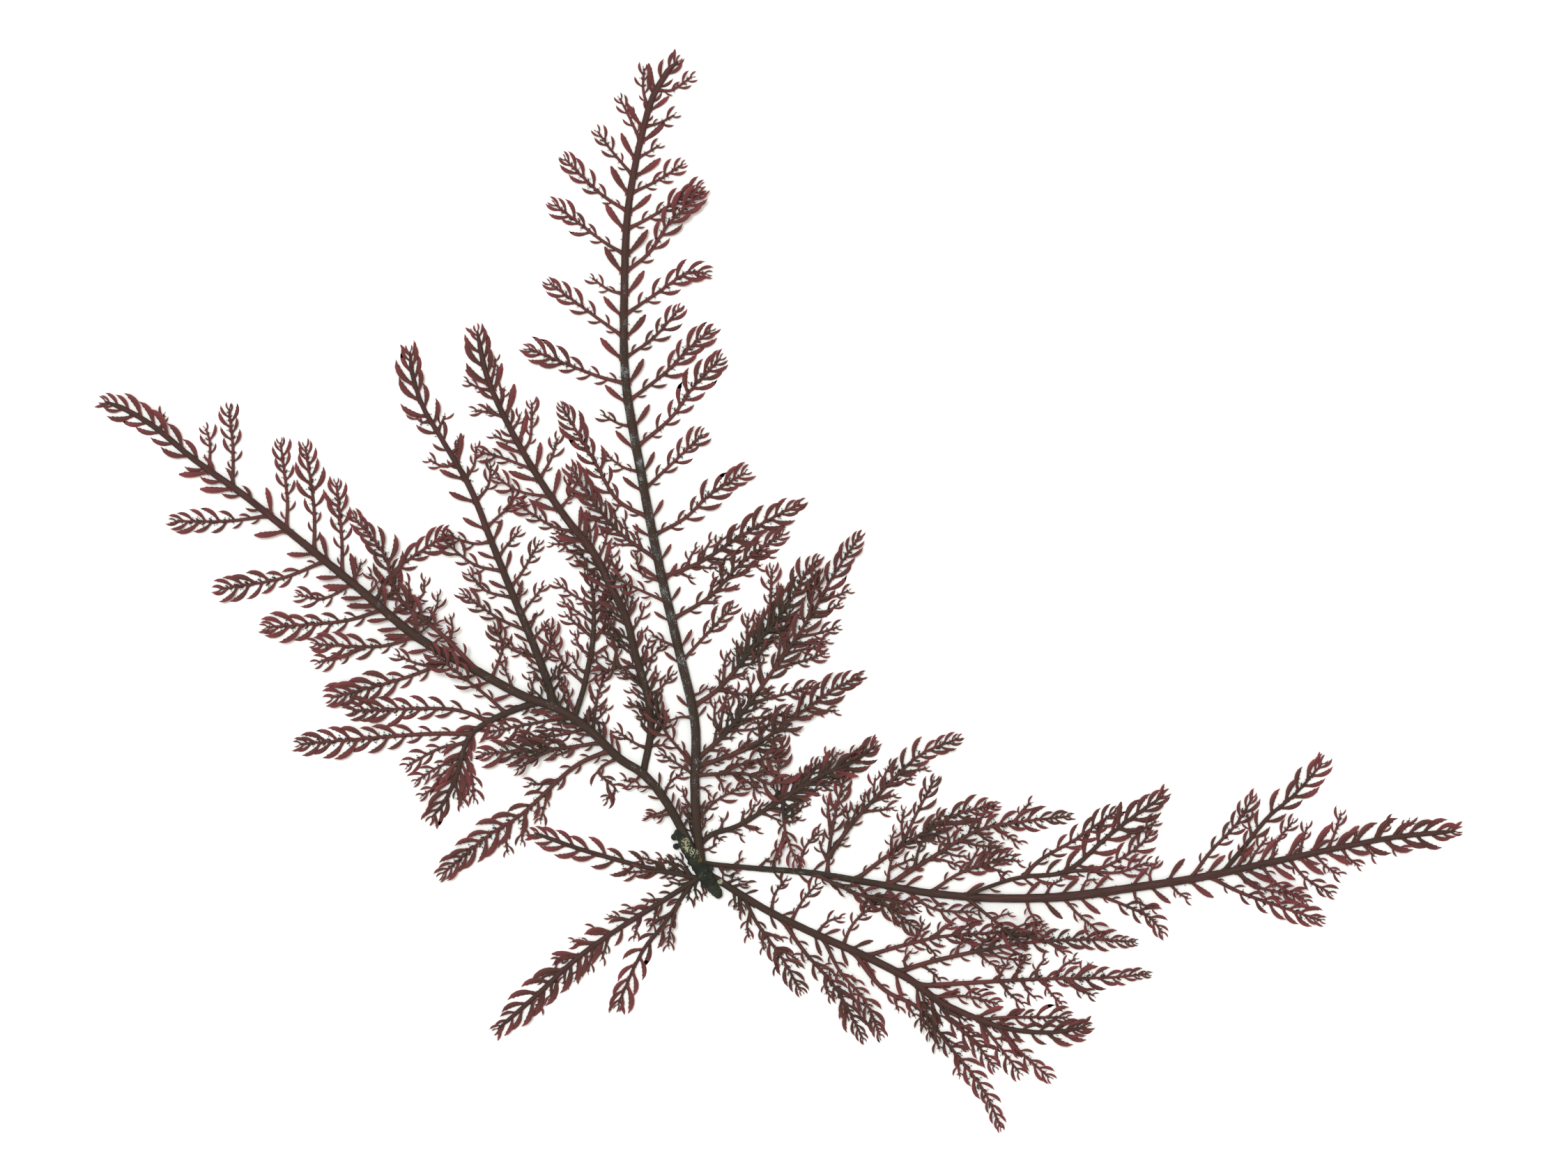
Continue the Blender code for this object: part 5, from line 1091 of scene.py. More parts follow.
# %% Mottle
def mottle_group():
    """Slow dark patches and a fine grain over a colour."""
    tree, given, result = new_group(
        "mottle", "ShaderNodeTree",
        (("Color", "Color"), ("Patch Color", "Color"), ("Patch Size", "Float", 12.0),
         ("Patch Share", "Float", 0.5), ("Grain", "Float", 0.12)),
        (("Color", "Color"), ("Height", "Float")))
    spot = place(tree, "ShaderNodeTexCoord").outputs["Object"]
    slow = place(tree, "ShaderNodeTexNoise", {"Vector": spot, "Detail": 2.0,
                 "Scale": calc(tree, "DIVIDE", 1000.0, given["Patch Size"])}).outputs[0]
    patch = calc(tree, "MULTIPLY", span(tree, slow, 0.45, 0.62), given["Patch Share"], clamp=True)
    fine = place(tree, "ShaderNodeTexNoise", {"Vector": spot, "Detail": 3.0, "Scale": 2600.0}).outputs[0]
    grain = calc(tree, "MULTIPLY_ADD", calc(tree, "SUBTRACT", fine, 0.5), given["Grain"], 1.0)
    mixed = blend(tree, patch, given["Color"], given["Patch Color"])
    tree.links.new(scaled(tree, mixed, grain), result["Color"])
    tree.links.new(fine, result["Height"])
    return tree


MOTTLE = mottle_group()
describe(MOTTLE)


# %% Crust
def crust_group():
    """Grey specks of crust over a colour."""
    tree, given, result = new_group(
        "crust", "ShaderNodeTree",
        (("Color", "Color"), ("Crust Color", "Color", (0.32, 0.31, 0.29, 1.0)),
         ("Amount", "Float", 0.5), ("Spot", "Vector")),
        (("Color", "Color"), ("Crust", "Float")))
    specks = place(tree, "ShaderNodeTexNoise", {"Vector": given["Spot"], "Scale": 1.0, "Detail": 2.5,
                   "Roughness": 0.65}).outputs[0]
    clumps = place(tree, "ShaderNodeTexNoise", {"Vector": given["Spot"], "Detail": 2.0,
                   "Scale": 0.1}).outputs[0]
    value = calc(tree, "ADD", specks, calc(tree, "MULTIPLY", calc(tree, "SUBTRACT", clumps, 0.5), 0.7))
    level = calc(tree, "MULTIPLY_ADD", given["Amount"], -0.26, 0.72)
    crust = span(tree, value, level, calc(tree, "ADD", level, 0.09))
    tree.links.new(blend(tree, crust, given["Color"], given["Crust Color"]), result["Color"])
    tree.links.new(crust, result["Crust"])
    return tree


CRUST = crust_group()
describe(CRUST)

# %% [markdown]
# ## The material of blades and ribs
#
# Blades are wine red, paler and pinker at their tips and along their edges, browner
# where the frond is old, and almost black on the teeth. Deep in a crowd they are darkened
# with painted shade, most at their foot. The meshes carry five numbers at each point for
# this: tip (0 at a blade's foot, 1 at its point), edge (0 on the midline, 1 on the smooth
# edge, -1 on the toothed one), youth (0 near the foot of the frond, 1 at the end of a
# spray), shade (one random draw for each blade, which sets its tone) and crowd (0 where a
# course runs alone, 1 where many lie side by side, which sets the painted shade).

# %% A material to start from
WINE_RED = (0.148, 0.037, 0.038, 1.0)
TIP_PINK = (0.28, 0.055, 0.068, 1.0)
OLD_BROWN = (0.078, 0.034, 0.028, 1.0)
# The last is the dark of dried patches, old stems and teeth, and also the colour of painted shade deep in a
# crowd of sprays.
DRIED_DARK_AND_SHADE = (0.034, 0.026, 0.018, 1.0)


def attribute(tree, name):
    """A number that the mesh carries."""
    return place(tree, "ShaderNodeAttribute", attribute_name=name).outputs["Fac"]


def grouped(tree, group, sockets):
    """A shader group, placed with its values."""
    return place(tree, "ShaderNodeGroup", sockets, node_tree=group)


def dull_skin(name, roughness):
    """A material whose colour is still to come: its tree and its shader."""
    material = bpy.data.materials.new(name)
    material.use_nodes = True
    shader = material.node_tree.nodes["Principled BSDF"]
    shader.inputs["Roughness"].default_value = roughness
    shader.inputs["Specular IOR Level"].default_value = 0.12
    return material, material.node_tree, shader


def bumped(tree, shader, height, distance):
    """Relief on the shader's normal, so many metres high."""
    bump = place(tree, "ShaderNodeBump", {"Height": height, "Distance": distance, "Strength": 1.0})
    tree.links.new(bump.outputs[0], shader.inputs["Normal"])


print("reds and browns:", WINE_RED[:3], TIP_PINK[:3], OLD_BROWN[:3], DRIED_DARK_AND_SHADE[:3])


# %% Blade material
def blade_material(name, dark_share):
    """Wine red with pink tips and rims, brown with age, dark on the teeth, and with painted shade in a
    crowd.
    """
    material, tree, shader = dull_skin(name, 0.55)
    words = ("youth", "tip", "edge", "shade", "crowd")
    youth, tip, edge, shade, crowd = (attribute(tree, word) for word in words)
    aged = blend(tree, youth, OLD_BROWN, WINE_RED)
    young = calc(tree, "MULTIPLY_ADD", youth, 0.75, 0.15)
    pink = calc(tree, "MULTIPLY", calc(tree, "POWER", tip, 2.2), young)
    colour = blend(tree, pink, aged, TIP_PINK)
    colour = blend(tree, calc(tree, "MULTIPLY", shade, 0.3), colour, OLD_BROWN)
    rim = span(tree, calc(tree, "ABSOLUTE", edge), 0.6, 0.95)
    colour = blend(tree, calc(tree, "MULTIPLY", rim, 0.45), colour, TIP_PINK)
    toothed = calc(tree, "MULTIPLY", span(tree, edge, -0.5, -0.95),
                   calc(tree, "MULTIPLY_ADD", tip, -0.55, 0.95))
    colour = blend(tree, toothed, colour, DRIED_DARK_AND_SHADE)
    mottle = grouped(tree, MOTTLE, {"Color": colour, "Patch Color": DRIED_DARK_AND_SHADE, "Patch Size": 9.0,
                                    "Patch Share": dark_share, "Grain": 0.35})
    # Painted shade where many sprays lie over each other, strongest at a blade's foot.
    inner = calc(tree, "MULTIPLY", crowd, calc(tree, "MULTIPLY_ADD", tip, -0.6, 0.95))
    darkened = blend(tree, inner, mottle.outputs["Color"], DRIED_DARK_AND_SHADE)
    tree.links.new(darkened, shader.inputs["Base Color"])
    bumped(tree, shader, mottle.outputs["Height"], 0.05 * MM)
    return material


BLADE_SKIN = blade_material("blade_skin", 0.35)
DARK_BLADE_SKIN = blade_material("dark_blade_skin", 0.5)
print("blade materials:", BLADE_SKIN.name, DARK_BLADE_SKIN.name)

# %% Branchlet material
SPIKE_BLACK = (0.026, 0.019, 0.015, 1.0)
SPIKE_GREEN = (0.042, 0.046, 0.024, 1.0)
SPIKE_RED = (0.09, 0.03, 0.032, 1.0)


def branchlet_material():
    """Branchlets and teeth in the axils, nearly black, and green where they are old."""
    material, tree, shader = dull_skin("branchlet_skin", 0.6)
    greened = span(tree, attribute(tree, "shade"), 0.55, 0.9)
    colour = blend(tree, greened, SPIKE_BLACK, SPIKE_GREEN)
    colour = blend(tree, calc(tree, "POWER", attribute(tree, "youth"), 3.0), colour, SPIKE_RED)
    tree.links.new(colour, shader.inputs["Base Color"])
    return material


BRANCHLET_SKIN = branchlet_material()
print("branchlet material:", BRANCHLET_SKIN.name)

# %% [markdown]
# ## The material of stems
#
# A stem is brown-maroon, with fine ridges that run along it, because its cells do.
# The stem's mesh carries along (millimetres from the foot) and around (0 to 1 round the
# section), so the ridges follow every bend. The crust is laid on by place: each stem
# material names the stretch where it is thick.

# %% Stem materials
def on_course(tree, per_length, per_turn):
    """A place on the stem's skin: so much for each millimetre along, so much for a turn round."""
    return place(tree, "ShaderNodeCombineXYZ", {
        "X": calc(tree, "MULTIPLY", attribute(tree, "along"), per_length),
        "Y": calc(tree, "MULTIPLY", attribute(tree, "around"), per_turn)}).outputs[0]


def stretch_mask(tree, axis, low, high, fade):
    """1 between two lengths along an axis, in millimetres, and 0 beyond the fade."""
    spot = place(tree, "ShaderNodeTexCoord").outputs["Object"]
    length = calc(tree, "MULTIPLY", place(tree, "ShaderNodeSeparateXYZ", {0: spot}).outputs[axis], 1000.0)
    return calc(tree, "MULTIPLY", span(tree, length, low - fade, low),
                span(tree, length, high + fade, high))


def stem_material(name, colour, crust, stretch, axis="Y", crust_colour=(0.32, 0.31, 0.29, 1.0)):
    """Bark with ridges, and crust over one stretch (low, high, fade) along an axis."""
    material, tree, shader = dull_skin(name, 0.6)
    ridges = place(tree, "ShaderNodeTexNoise", {"Vector": on_course(tree, 0.22, 22.0), "Scale": 1.0,
                   "Detail": 3.0}).outputs[0]
    darker = tuple(0.62 * part for part in colour[:3]) + (1.0,)
    barked = blend(tree, span(tree, ridges, 0.4, 0.62), darker, colour)
    age = calc(tree, "POWER", calc(tree, "SUBTRACT", 1.0, attribute(tree, "youth")), 4.0)
    barked = blend(tree, calc(tree, "MULTIPLY", age, 0.8), barked, DRIED_DARK_AND_SHADE)
    mottle = grouped(tree, MOTTLE, {"Color": barked, "Patch Color": DRIED_DARK_AND_SHADE, "Patch Size": 14.0,
                                    "Patch Share": 0.35, "Grain": 0.4})
    amount = calc(tree, "MULTIPLY", stretch_mask(tree, axis, *stretch), crust)
    dull = calc(tree, "MULTIPLY", amount, 1.15, clamp=True)
    dulled = blend(tree, dull, mottle.outputs["Color"], DRIED_DARK_AND_SHADE)
    crusted = grouped(tree, CRUST, {"Color": dulled, "Crust Color": crust_colour,
                                    "Amount": amount, "Spot": on_course(tree, 3.2, 30.0)})
    tree.links.new(crusted.outputs["Color"], shader.inputs["Base Color"])
    relief = calc(tree, "ADD", calc(tree, "MULTIPLY", ridges, 0.6), crusted.outputs["Crust"])
    bumped(tree, shader, relief, 0.12 * MM)
    return material


CROWN_BARK = stem_material("crown_bark", (0.098, 0.040, 0.037, 1.0), 0.62, (34.0, 112.0, 34.0), "Y",
                           (0.28, 0.30, 0.30, 1.0))
RIGHT_BARK = stem_material("right_bark", (0.082, 0.038, 0.034, 1.0), 0.6, (12.0, 34.0, 6.0), "X",
                           (0.13, 0.15, 0.12, 1.0))
PLAIN_BARK = stem_material("plain_bark", (0.085, 0.037, 0.033, 1.0), 0.3, (10.0, 60.0, 20.0))
print("stem materials:", CROWN_BARK.name, RIGHT_BARK.name, PLAIN_BARK.name)

# %% [markdown]
# ## One blade
#
# A blade is a small flat sickle. Its foot flares where it meets the stem, narrows, and
# then the blade widens beyond its middle and is drawn out to a point that bends forward.
# The blades that face a spray are straighter and blunter. The edge that faces the tip
# of the frond is saw-toothed, the other is nearly smooth.
#
# Because a blade is repeated thousands of times it has only a few dozen faces: a low
# midline, two edges and one tooth between each two stations. It is drawn with length 1,
# its foot at the origin and the spray running along X, so that a tree can place and
# scale it. Each point keeps two numbers for the finish: tip, from foot to point, and
# edge, which is 0 on the midline, 1 on the smooth edge and -1 on the toothed one.

# %% Blade shapes
SIDES = (("left", 1), ("right", -1))
BLADE_STATIONS = (0.0, 0.08, 0.2, 0.36, 0.52, 0.68, 0.84, 1.0)
BLADE_WIDTHS = (1.5, 0.62, 0.58, 0.88, 1.0, 0.9, 0.55, 0.05)
BLUNT_WIDTHS = (1.4, 0.62, 0.6, 0.86, 1.0, 1.0, 0.82, 0.3)
TOOTH = 0.2
SMOOTH_EDGE_TOOTH = 0.4 * TOOTH


def object_from(shape, name):
    """A drawn shape as an object of its own."""
    mesh = bpy.data.meshes.new(name)
    shape.to_mesh(mesh)
    shape.free()
    return plain_object(name, mesh)


def midline(heading, side):
    """The points along a blade's middle, each step turned as its heading says."""
    along = BLADE_STATIONS
    middle = np.zeros((len(along), 2))
    for k in range(1, len(along)):
        turn = 0.5 * (heading[k - 1] + heading[k])
        step = along[k] - along[k - 1]
        middle[k] = middle[k - 1] + step * np.array([math.cos(turn), side * math.sin(turn)])
    return middle


def sickle(name, side, turn_foot, turn_tip, half_width, widths):
    """A toothed blade to one side (1 left, -1 right) of a course along X."""
    along = np.array(BLADE_STATIONS)
    heading = np.radians(turn_foot + (turn_tip - turn_foot) * along**1.3)
    middle = midline(heading, side)
    half = half_width * np.array(widths)
    thick = 0.2 * half + 0.012
    shape = bmesh.new()
    layers = [shape.verts.layers.float.new(word) for word in ("tip", "edge")]

    def point(x, y, z, tip, edge):
        vert = shape.verts.new((x, y, z))
        vert[layers[0]] = tip
        vert[layers[1]] = edge
        return vert

    across = [np.array([-math.sin(turn) * side, math.cos(turn)]) for turn in heading]
    stations = range(len(along))
    top = [point(*middle[k], thick[k], along[k], 0.0) for k in stations]
    low = [point(*middle[k], -thick[k], along[k], 0.0) for k in stations]
    rims = []
    for edge in (1, -1):
        mark = edge * side
        rim = [point(*(middle[k] + edge * half[k] * across[k]), 0.0, along[k], mark) for k in stations]
        rims.append(rim)
        tooth_size = half_width * (SMOOTH_EDGE_TOOTH if mark == 1 else TOOTH)
        for k in stations[:-1]:
            shape.faces.new((top[k], top[k + 1], rim[k + 1], rim[k]))
            shape.faces.new((low[k], low[k + 1], rim[k + 1], rim[k]))
            if k in (0, len(along) - 2):
                continue
            base = 0.5 * (middle[k] + middle[k + 1]) + 0.3 * (middle[k + 1] - middle[k])
            reach = 0.5 * (half[k] + half[k + 1]) + tooth_size
            tooth = point(*(base + edge * reach * across[k]), 0.0, along[k], mark)
            shape.faces.new((rim[k], rim[k + 1], tooth))
    for k in (0, -1):
        shape.faces.new((top[k], rims[0][k], low[k], rims[1][k]))
    bmesh.ops.recalc_face_normals(shape, faces=shape.faces)
    return object_from(shape, name)


SPRAY_BLADES = [sickle("spray_blade_" + word, side, 58.0, -8.0, 0.088, BLADE_WIDTHS)
                for word, side in SIDES]
STEM_BLADES = [sickle("stem_blade_" + word, side, 50.0, 30.0, 0.094, BLUNT_WIDTHS)
               for word, side in SIDES]
print("a blade has", len(SPRAY_BLADES[0].data.polygons), "faces")

# %% [markdown]
# ## One branchlet
#
# In the axil of each blade sits a tiny dark branchlet: three thin spikes from one foot,
# with a few grains beside them, which are its fruits. It is drawn with length 1 too.

# %% Branchlet shapes
FIRST_TURN = 40.0
SPIKES = ((FIRST_TURN, 1.0, 0.0), (78.0, 0.6, 0.35), (12.0, 0.55, 0.45))
SPIKE_HALF = 0.08
GRAINS = ((0.2, 0.28, 0.15), (0.55, 0.45, 0.15), (0.42, 0.82, 0.12))


def spike(shape, foot, ahead, length):
    """A thin pyramid of four sides from its foot to its point."""
    across = np.array([-ahead[1], ahead[0]]) * SPIKE_HALF
    ring = [shape.verts.new((*(foot + across), 0.0)), shape.verts.new((*foot, SPIKE_HALF)),
            shape.verts.new((*(foot - across), 0.0)), shape.verts.new((*foot, -SPIKE_HALF))]
    point = shape.verts.new((*(foot + length * ahead), 0.0))
    for k in range(4):
        shape.faces.new((ring[k], ring[(k + 1) % 4], point))
    shape.faces.new(ring)


def bead(shape, centre, radius):
    """A grain of eight faces, flattened on the sheet."""
    x, y = centre
    ring = [shape.verts.new((x + radius * dx, y + radius * dy, 0.0))
            for dx, dy in ((1, 0), (0, 1), (-1, 0), (0, -1))]
    for pole in (0.8 * radius, -0.8 * radius):
        end = shape.verts.new((x, y, pole))
        for k in range(4):
            shape.faces.new((ring[k], ring[(k + 1) % 4], end))


def branchlet(name, side):
    """What sits in the axil of a blade: thin forked spikes, and dark grains beside them."""
    shape = bmesh.new()
    lean = math.radians(FIRST_TURN)
    for turn, length, start in SPIKES:
        turn = math.radians(turn)
        foot = np.array([start * math.cos(lean), side * start * math.sin(lean)])
        spike(shape, foot, np.array([math.cos(turn), side * math.sin(turn)]), length)
    for x, y, radius in GRAINS:
        bead(shape, (x, side * y), radius)
    bmesh.ops.recalc_face_normals(shape, faces=shape.faces)
    return object_from(shape, name)


BRANCHLETS = [branchlet("branchlet_" + word, side) for word, side in SIDES]
print("a branchlet has", len(BRANCHLETS[0].data.polygons), "faces")

# %% [markdown]
# ## A tree for skin over courses
#
# Stems and ribs differ only in size, so one tree makes both. It sweeps a flattened
# ring along each course, scaled by the course's own radius, and roughens it a little.
# Where a spray leaves its stem the rib flares into a web, as in the plant. What
# follows a course keeps its numbers: along and around for the ridges in the bark.

# %% Helpers for Geometry Nodes
def kept(tree, geometry, name, value, kind="FLOAT"):
    """The geometry, with a number or a direction stored at each point."""
    return place(tree, "GeometryNodeStoreNamedAttribute",
                 {"Geometry": geometry, "Name": name, "Value": value},
                 data_type=kind, domain="POINT").outputs[0]


def named(tree, name, kind="FLOAT"):
    """A number or direction that the points carry."""
    return place(tree, "GeometryNodeInputNamedAttribute", {"Name": name}, data_type=kind).outputs[0]


def draw(tree, low, high, seed):
    """A random number for each point."""
    return place(tree, "FunctionNodeRandomValue", {2: low, 3: high, 8: seed}).outputs[1]


def compare(tree, operation, first, second):
    """Whether one number is less or greater than another."""
    return place(tree, "FunctionNodeCompare", {0: first, 1: second}, data_type="FLOAT",
                 operation=operation).outputs[0]


def finished(tree, geometry, skin):
    """Instances as one mesh that nowhere dips below the sheet, with its material."""
    real = place(tree, "GeometryNodeRealizeInstances", {0: geometry}).outputs[0]
    here = place(tree, "GeometryNodeInputPosition").outputs[0]
    spot = place(tree, "ShaderNodeSeparateXYZ", {0: here}).outputs
    height = calc(tree, "MAXIMUM", spot["Z"], 0.0)
    above = place(tree, "ShaderNodeCombineXYZ", {"X": spot["X"], "Y": spot["Y"], "Z": height}).outputs[0]
    laid = place(tree, "GeometryNodeSetPosition", {"Geometry": real, "Position": above}).outputs[0]
    return place(tree, "GeometryNodeSetMaterial", {"Geometry": laid, "Material": skin}).outputs[0]


print("helpers:", [helper.__name__ for helper in (kept, named, draw, compare, finished)])


# %% Skin tree
def flat_ring(tree, given):
    """A flattened ring whose points know their place round it."""
    circle = place(tree, "GeometryNodeCurvePrimitiveCircle", {"Resolution": given["Sides"], "Radius": 1.0})
    turn = place(tree, "GeometryNodeSplineParameter").outputs["Factor"]
    ring = kept(tree, circle.outputs[0], "around", turn)
    scale = place(tree, "ShaderNodeCombineXYZ", {"X": 1.0, "Y": given["Flatness"], "Z": 1.0}).outputs[0]
    return place(tree, "GeometryNodeTransform", {"Geometry": ring, "Scale": scale}).outputs[0]


def roughened(tree, skin, given):
    """A skin pushed in and out by noise."""
    fourth = calc(tree, "MULTIPLY", given["Seed"], 1.0)
    grit = place(tree, "ShaderNodeTexNoise", {"W": fourth, "Scale": 700.0, "Detail": 1.0},
                 noise_dimensions="4D").outputs[0]
    reach = calc(tree, "MULTIPLY", given["Roughen"], 4.0)
    push = calc(tree, "MULTIPLY", calc(tree, "SUBTRACT", grit, 0.5), reach)
    normal = place(tree, "GeometryNodeInputNormal").outputs[0]
    return place(tree, "GeometryNodeSetPosition", {"Geometry": skin,
                                                   "Offset": scaled(tree, normal, push)}).outputs[0]


def skin_tree():
    """Stems or ribs swept along their courses."""
    tree, given, result = new_group(
        "skin_over_courses", "GeometryNodeTree",
        (("Courses", "Geometry"), ("Station", "Float", 0.8 * MM), ("Flatness", "Float", 0.6),
         ("Sides", "Int", 10), ("Flare", "Float", 0.0), ("Flare Length", "Float", 1.5 * MM),
         ("Roughen", "Float", 0.04 * MM), ("Seed", "Int", SEED), ("Skin", "Material")),
        (("Skin", "Geometry"),))
    curves = place(tree, "GeometryNodeMeshToCurve", {"Mesh": given["Courses"]}).outputs[0]
    upright = place(tree, "GeometryNodeSetCurveNormal", {"Curve": curves}, mode="Z_UP").outputs[0]
    even = place(tree, "GeometryNodeResampleCurve", {"Curve": upright, "Length": given["Station"]},
                 mode="LENGTH").outputs[0]
    from_foot = place(tree, "GeometryNodeSplineParameter").outputs["Length"]
    marked = kept(tree, even, "along", calc(tree, "MULTIPLY", from_foot, 1000.0))
    share = calc(tree, "DIVIDE", from_foot, given["Flare Length"])
    near = calc(tree, "SUBTRACT", 1.0, share, clamp=True)
    flare = calc(tree, "MULTIPLY_ADD", calc(tree, "POWER", near, 2.0), given["Flare"], 1.0)
    size = calc(tree, "MULTIPLY", named(tree, "half_width"), flare)
    skin = place(tree, "GeometryNodeCurveToMesh", {"Curve": marked, "Profile Curve": flat_ring(tree, given),
                                                   "Scale": size, "Fill Caps": True}).outputs[0]
    rough = roughened(tree, skin, given)
    smooth = place(tree, "GeometryNodeSetShadeSmooth", {0: rough, "Shade Smooth": True}).outputs[0]
    tree.links.new(finished(tree, smooth, given["Skin"]), result["Skin"])
    return tree


SKIN = skin_tree()
describe(SKIN)

# %% [markdown]
# ## A tree for blades set out along courses
#
# Along a spray, blades stand by turns left and right. They are small and spaced out at
# the foot, and longer and closer together towards the end, where they shorten again and
# close up into a claw. The tree resamples each course at half the pitch, so that every
# second point is one side's, then slides the points along the course towards its end,
# and places a left or a right blade at each, turned to the course. Random draws, from
# one seed, vary length and lean a little. The same tree sets out the tiny branchlets in
# the axils, with another pitch, size and lean.

# %% One blade on each point
def placed_blades(tree, points, blade, ahead, chosen, length, lean, roll):
    """Copies of a blade on the chosen points, turned along ahead."""
    facing = place(tree, "FunctionNodeAxesToRotation",
                   {"Primary Axis": ahead, "Secondary Axis": (0.0, 0.0, 1.0)},
                   primary_axis="X", secondary_axis="Z")
    turn = place(tree, "ShaderNodeCombineXYZ", {"X": roll, "Y": 0.0, "Z": lean})
    turned = place(tree, "FunctionNodeRotateRotation", {0: facing.outputs[0], 1: turn.outputs[0]},
                   rotation_space="LOCAL")
    shape = place(tree, "GeometryNodeObjectInfo", {"Object": blade, "As Instance": True},
                  transform_space="ORIGINAL")
    return place(tree, "GeometryNodeInstanceOnPoints", {
        "Points": points, "Selection": chosen, "Instance": shape.outputs["Geometry"],
        "Rotation": turned.outputs[0], "Scale": length}).outputs[0]


def both_sides(tree, points, given, wanted, leans, roll):
    """Left blades on the left points and right ones on the others, as one mesh with its finish."""
    joined_blades = tree.nodes.new("GeometryNodeJoinGeometry")
    left = named(tree, "left")
    right = calc(tree, "SUBTRACT", 1.0, left)
    blades = (given["Left Blade"], given["Right Blade"])
    for here, blade, lean in zip((left, right), blades, leans):
        ahead = named(tree, "ahead", "FLOAT_VECTOR")
        chosen = calc(tree, "MULTIPLY", here, wanted)
        made = placed_blades(tree, points, blade, ahead, chosen, named(tree, "length"), lean, roll)
        tree.links.new(made, joined_blades.inputs[0])
    return finished(tree, joined_blades.outputs[0], given["Skin"])


print("helpers:", placed_blades.__name__, both_sides.__name__)

# %% Length and place along a spray
LENGTH_PROFILE = ((0.0, 0.35), (0.2, 0.58), (0.5, 0.9), (0.72, 1.0), (0.9, 0.72), (1.0, 0.28))


def length_along(tree, factor):
    """How long blades are along a spray, as a share of the longest."""
    profile = place(tree, "ShaderNodeFloatCurve", {"Value": factor})
    curve = profile.mapping.curves[0]
    curve.points[0].location = LENGTH_PROFILE[0]
    curve.points[1].location = LENGTH_PROFILE[-1]
    for spot in LENGTH_PROFILE[1:-1]:
        curve.points.new(*spot)
    profile.mapping.update()
    return profile.outputs[0]


def slid_to_tip(tree, factor, crowding):
    """A place along the course, moved towards its end."""
    left_over = calc(tree, "POWER", calc(tree, "SUBTRACT", 1.0, factor), calc(tree, "ADD", crowding, 1.0))
    return calc(tree, "SUBTRACT", 1.0, left_over)


def draws_of(tree, seed):
    """A function for random draws that differ by their step and all follow one seed."""
    def draw_one(low, high, step):
        return draw(tree, low, high, calc(tree, "ADD", seed, float(step)) if step else seed)
    return draw_one


print("blades are longest at", max(LENGTH_PROFILE, key=lambda spot: spot[1])[0], "of a spray's length")


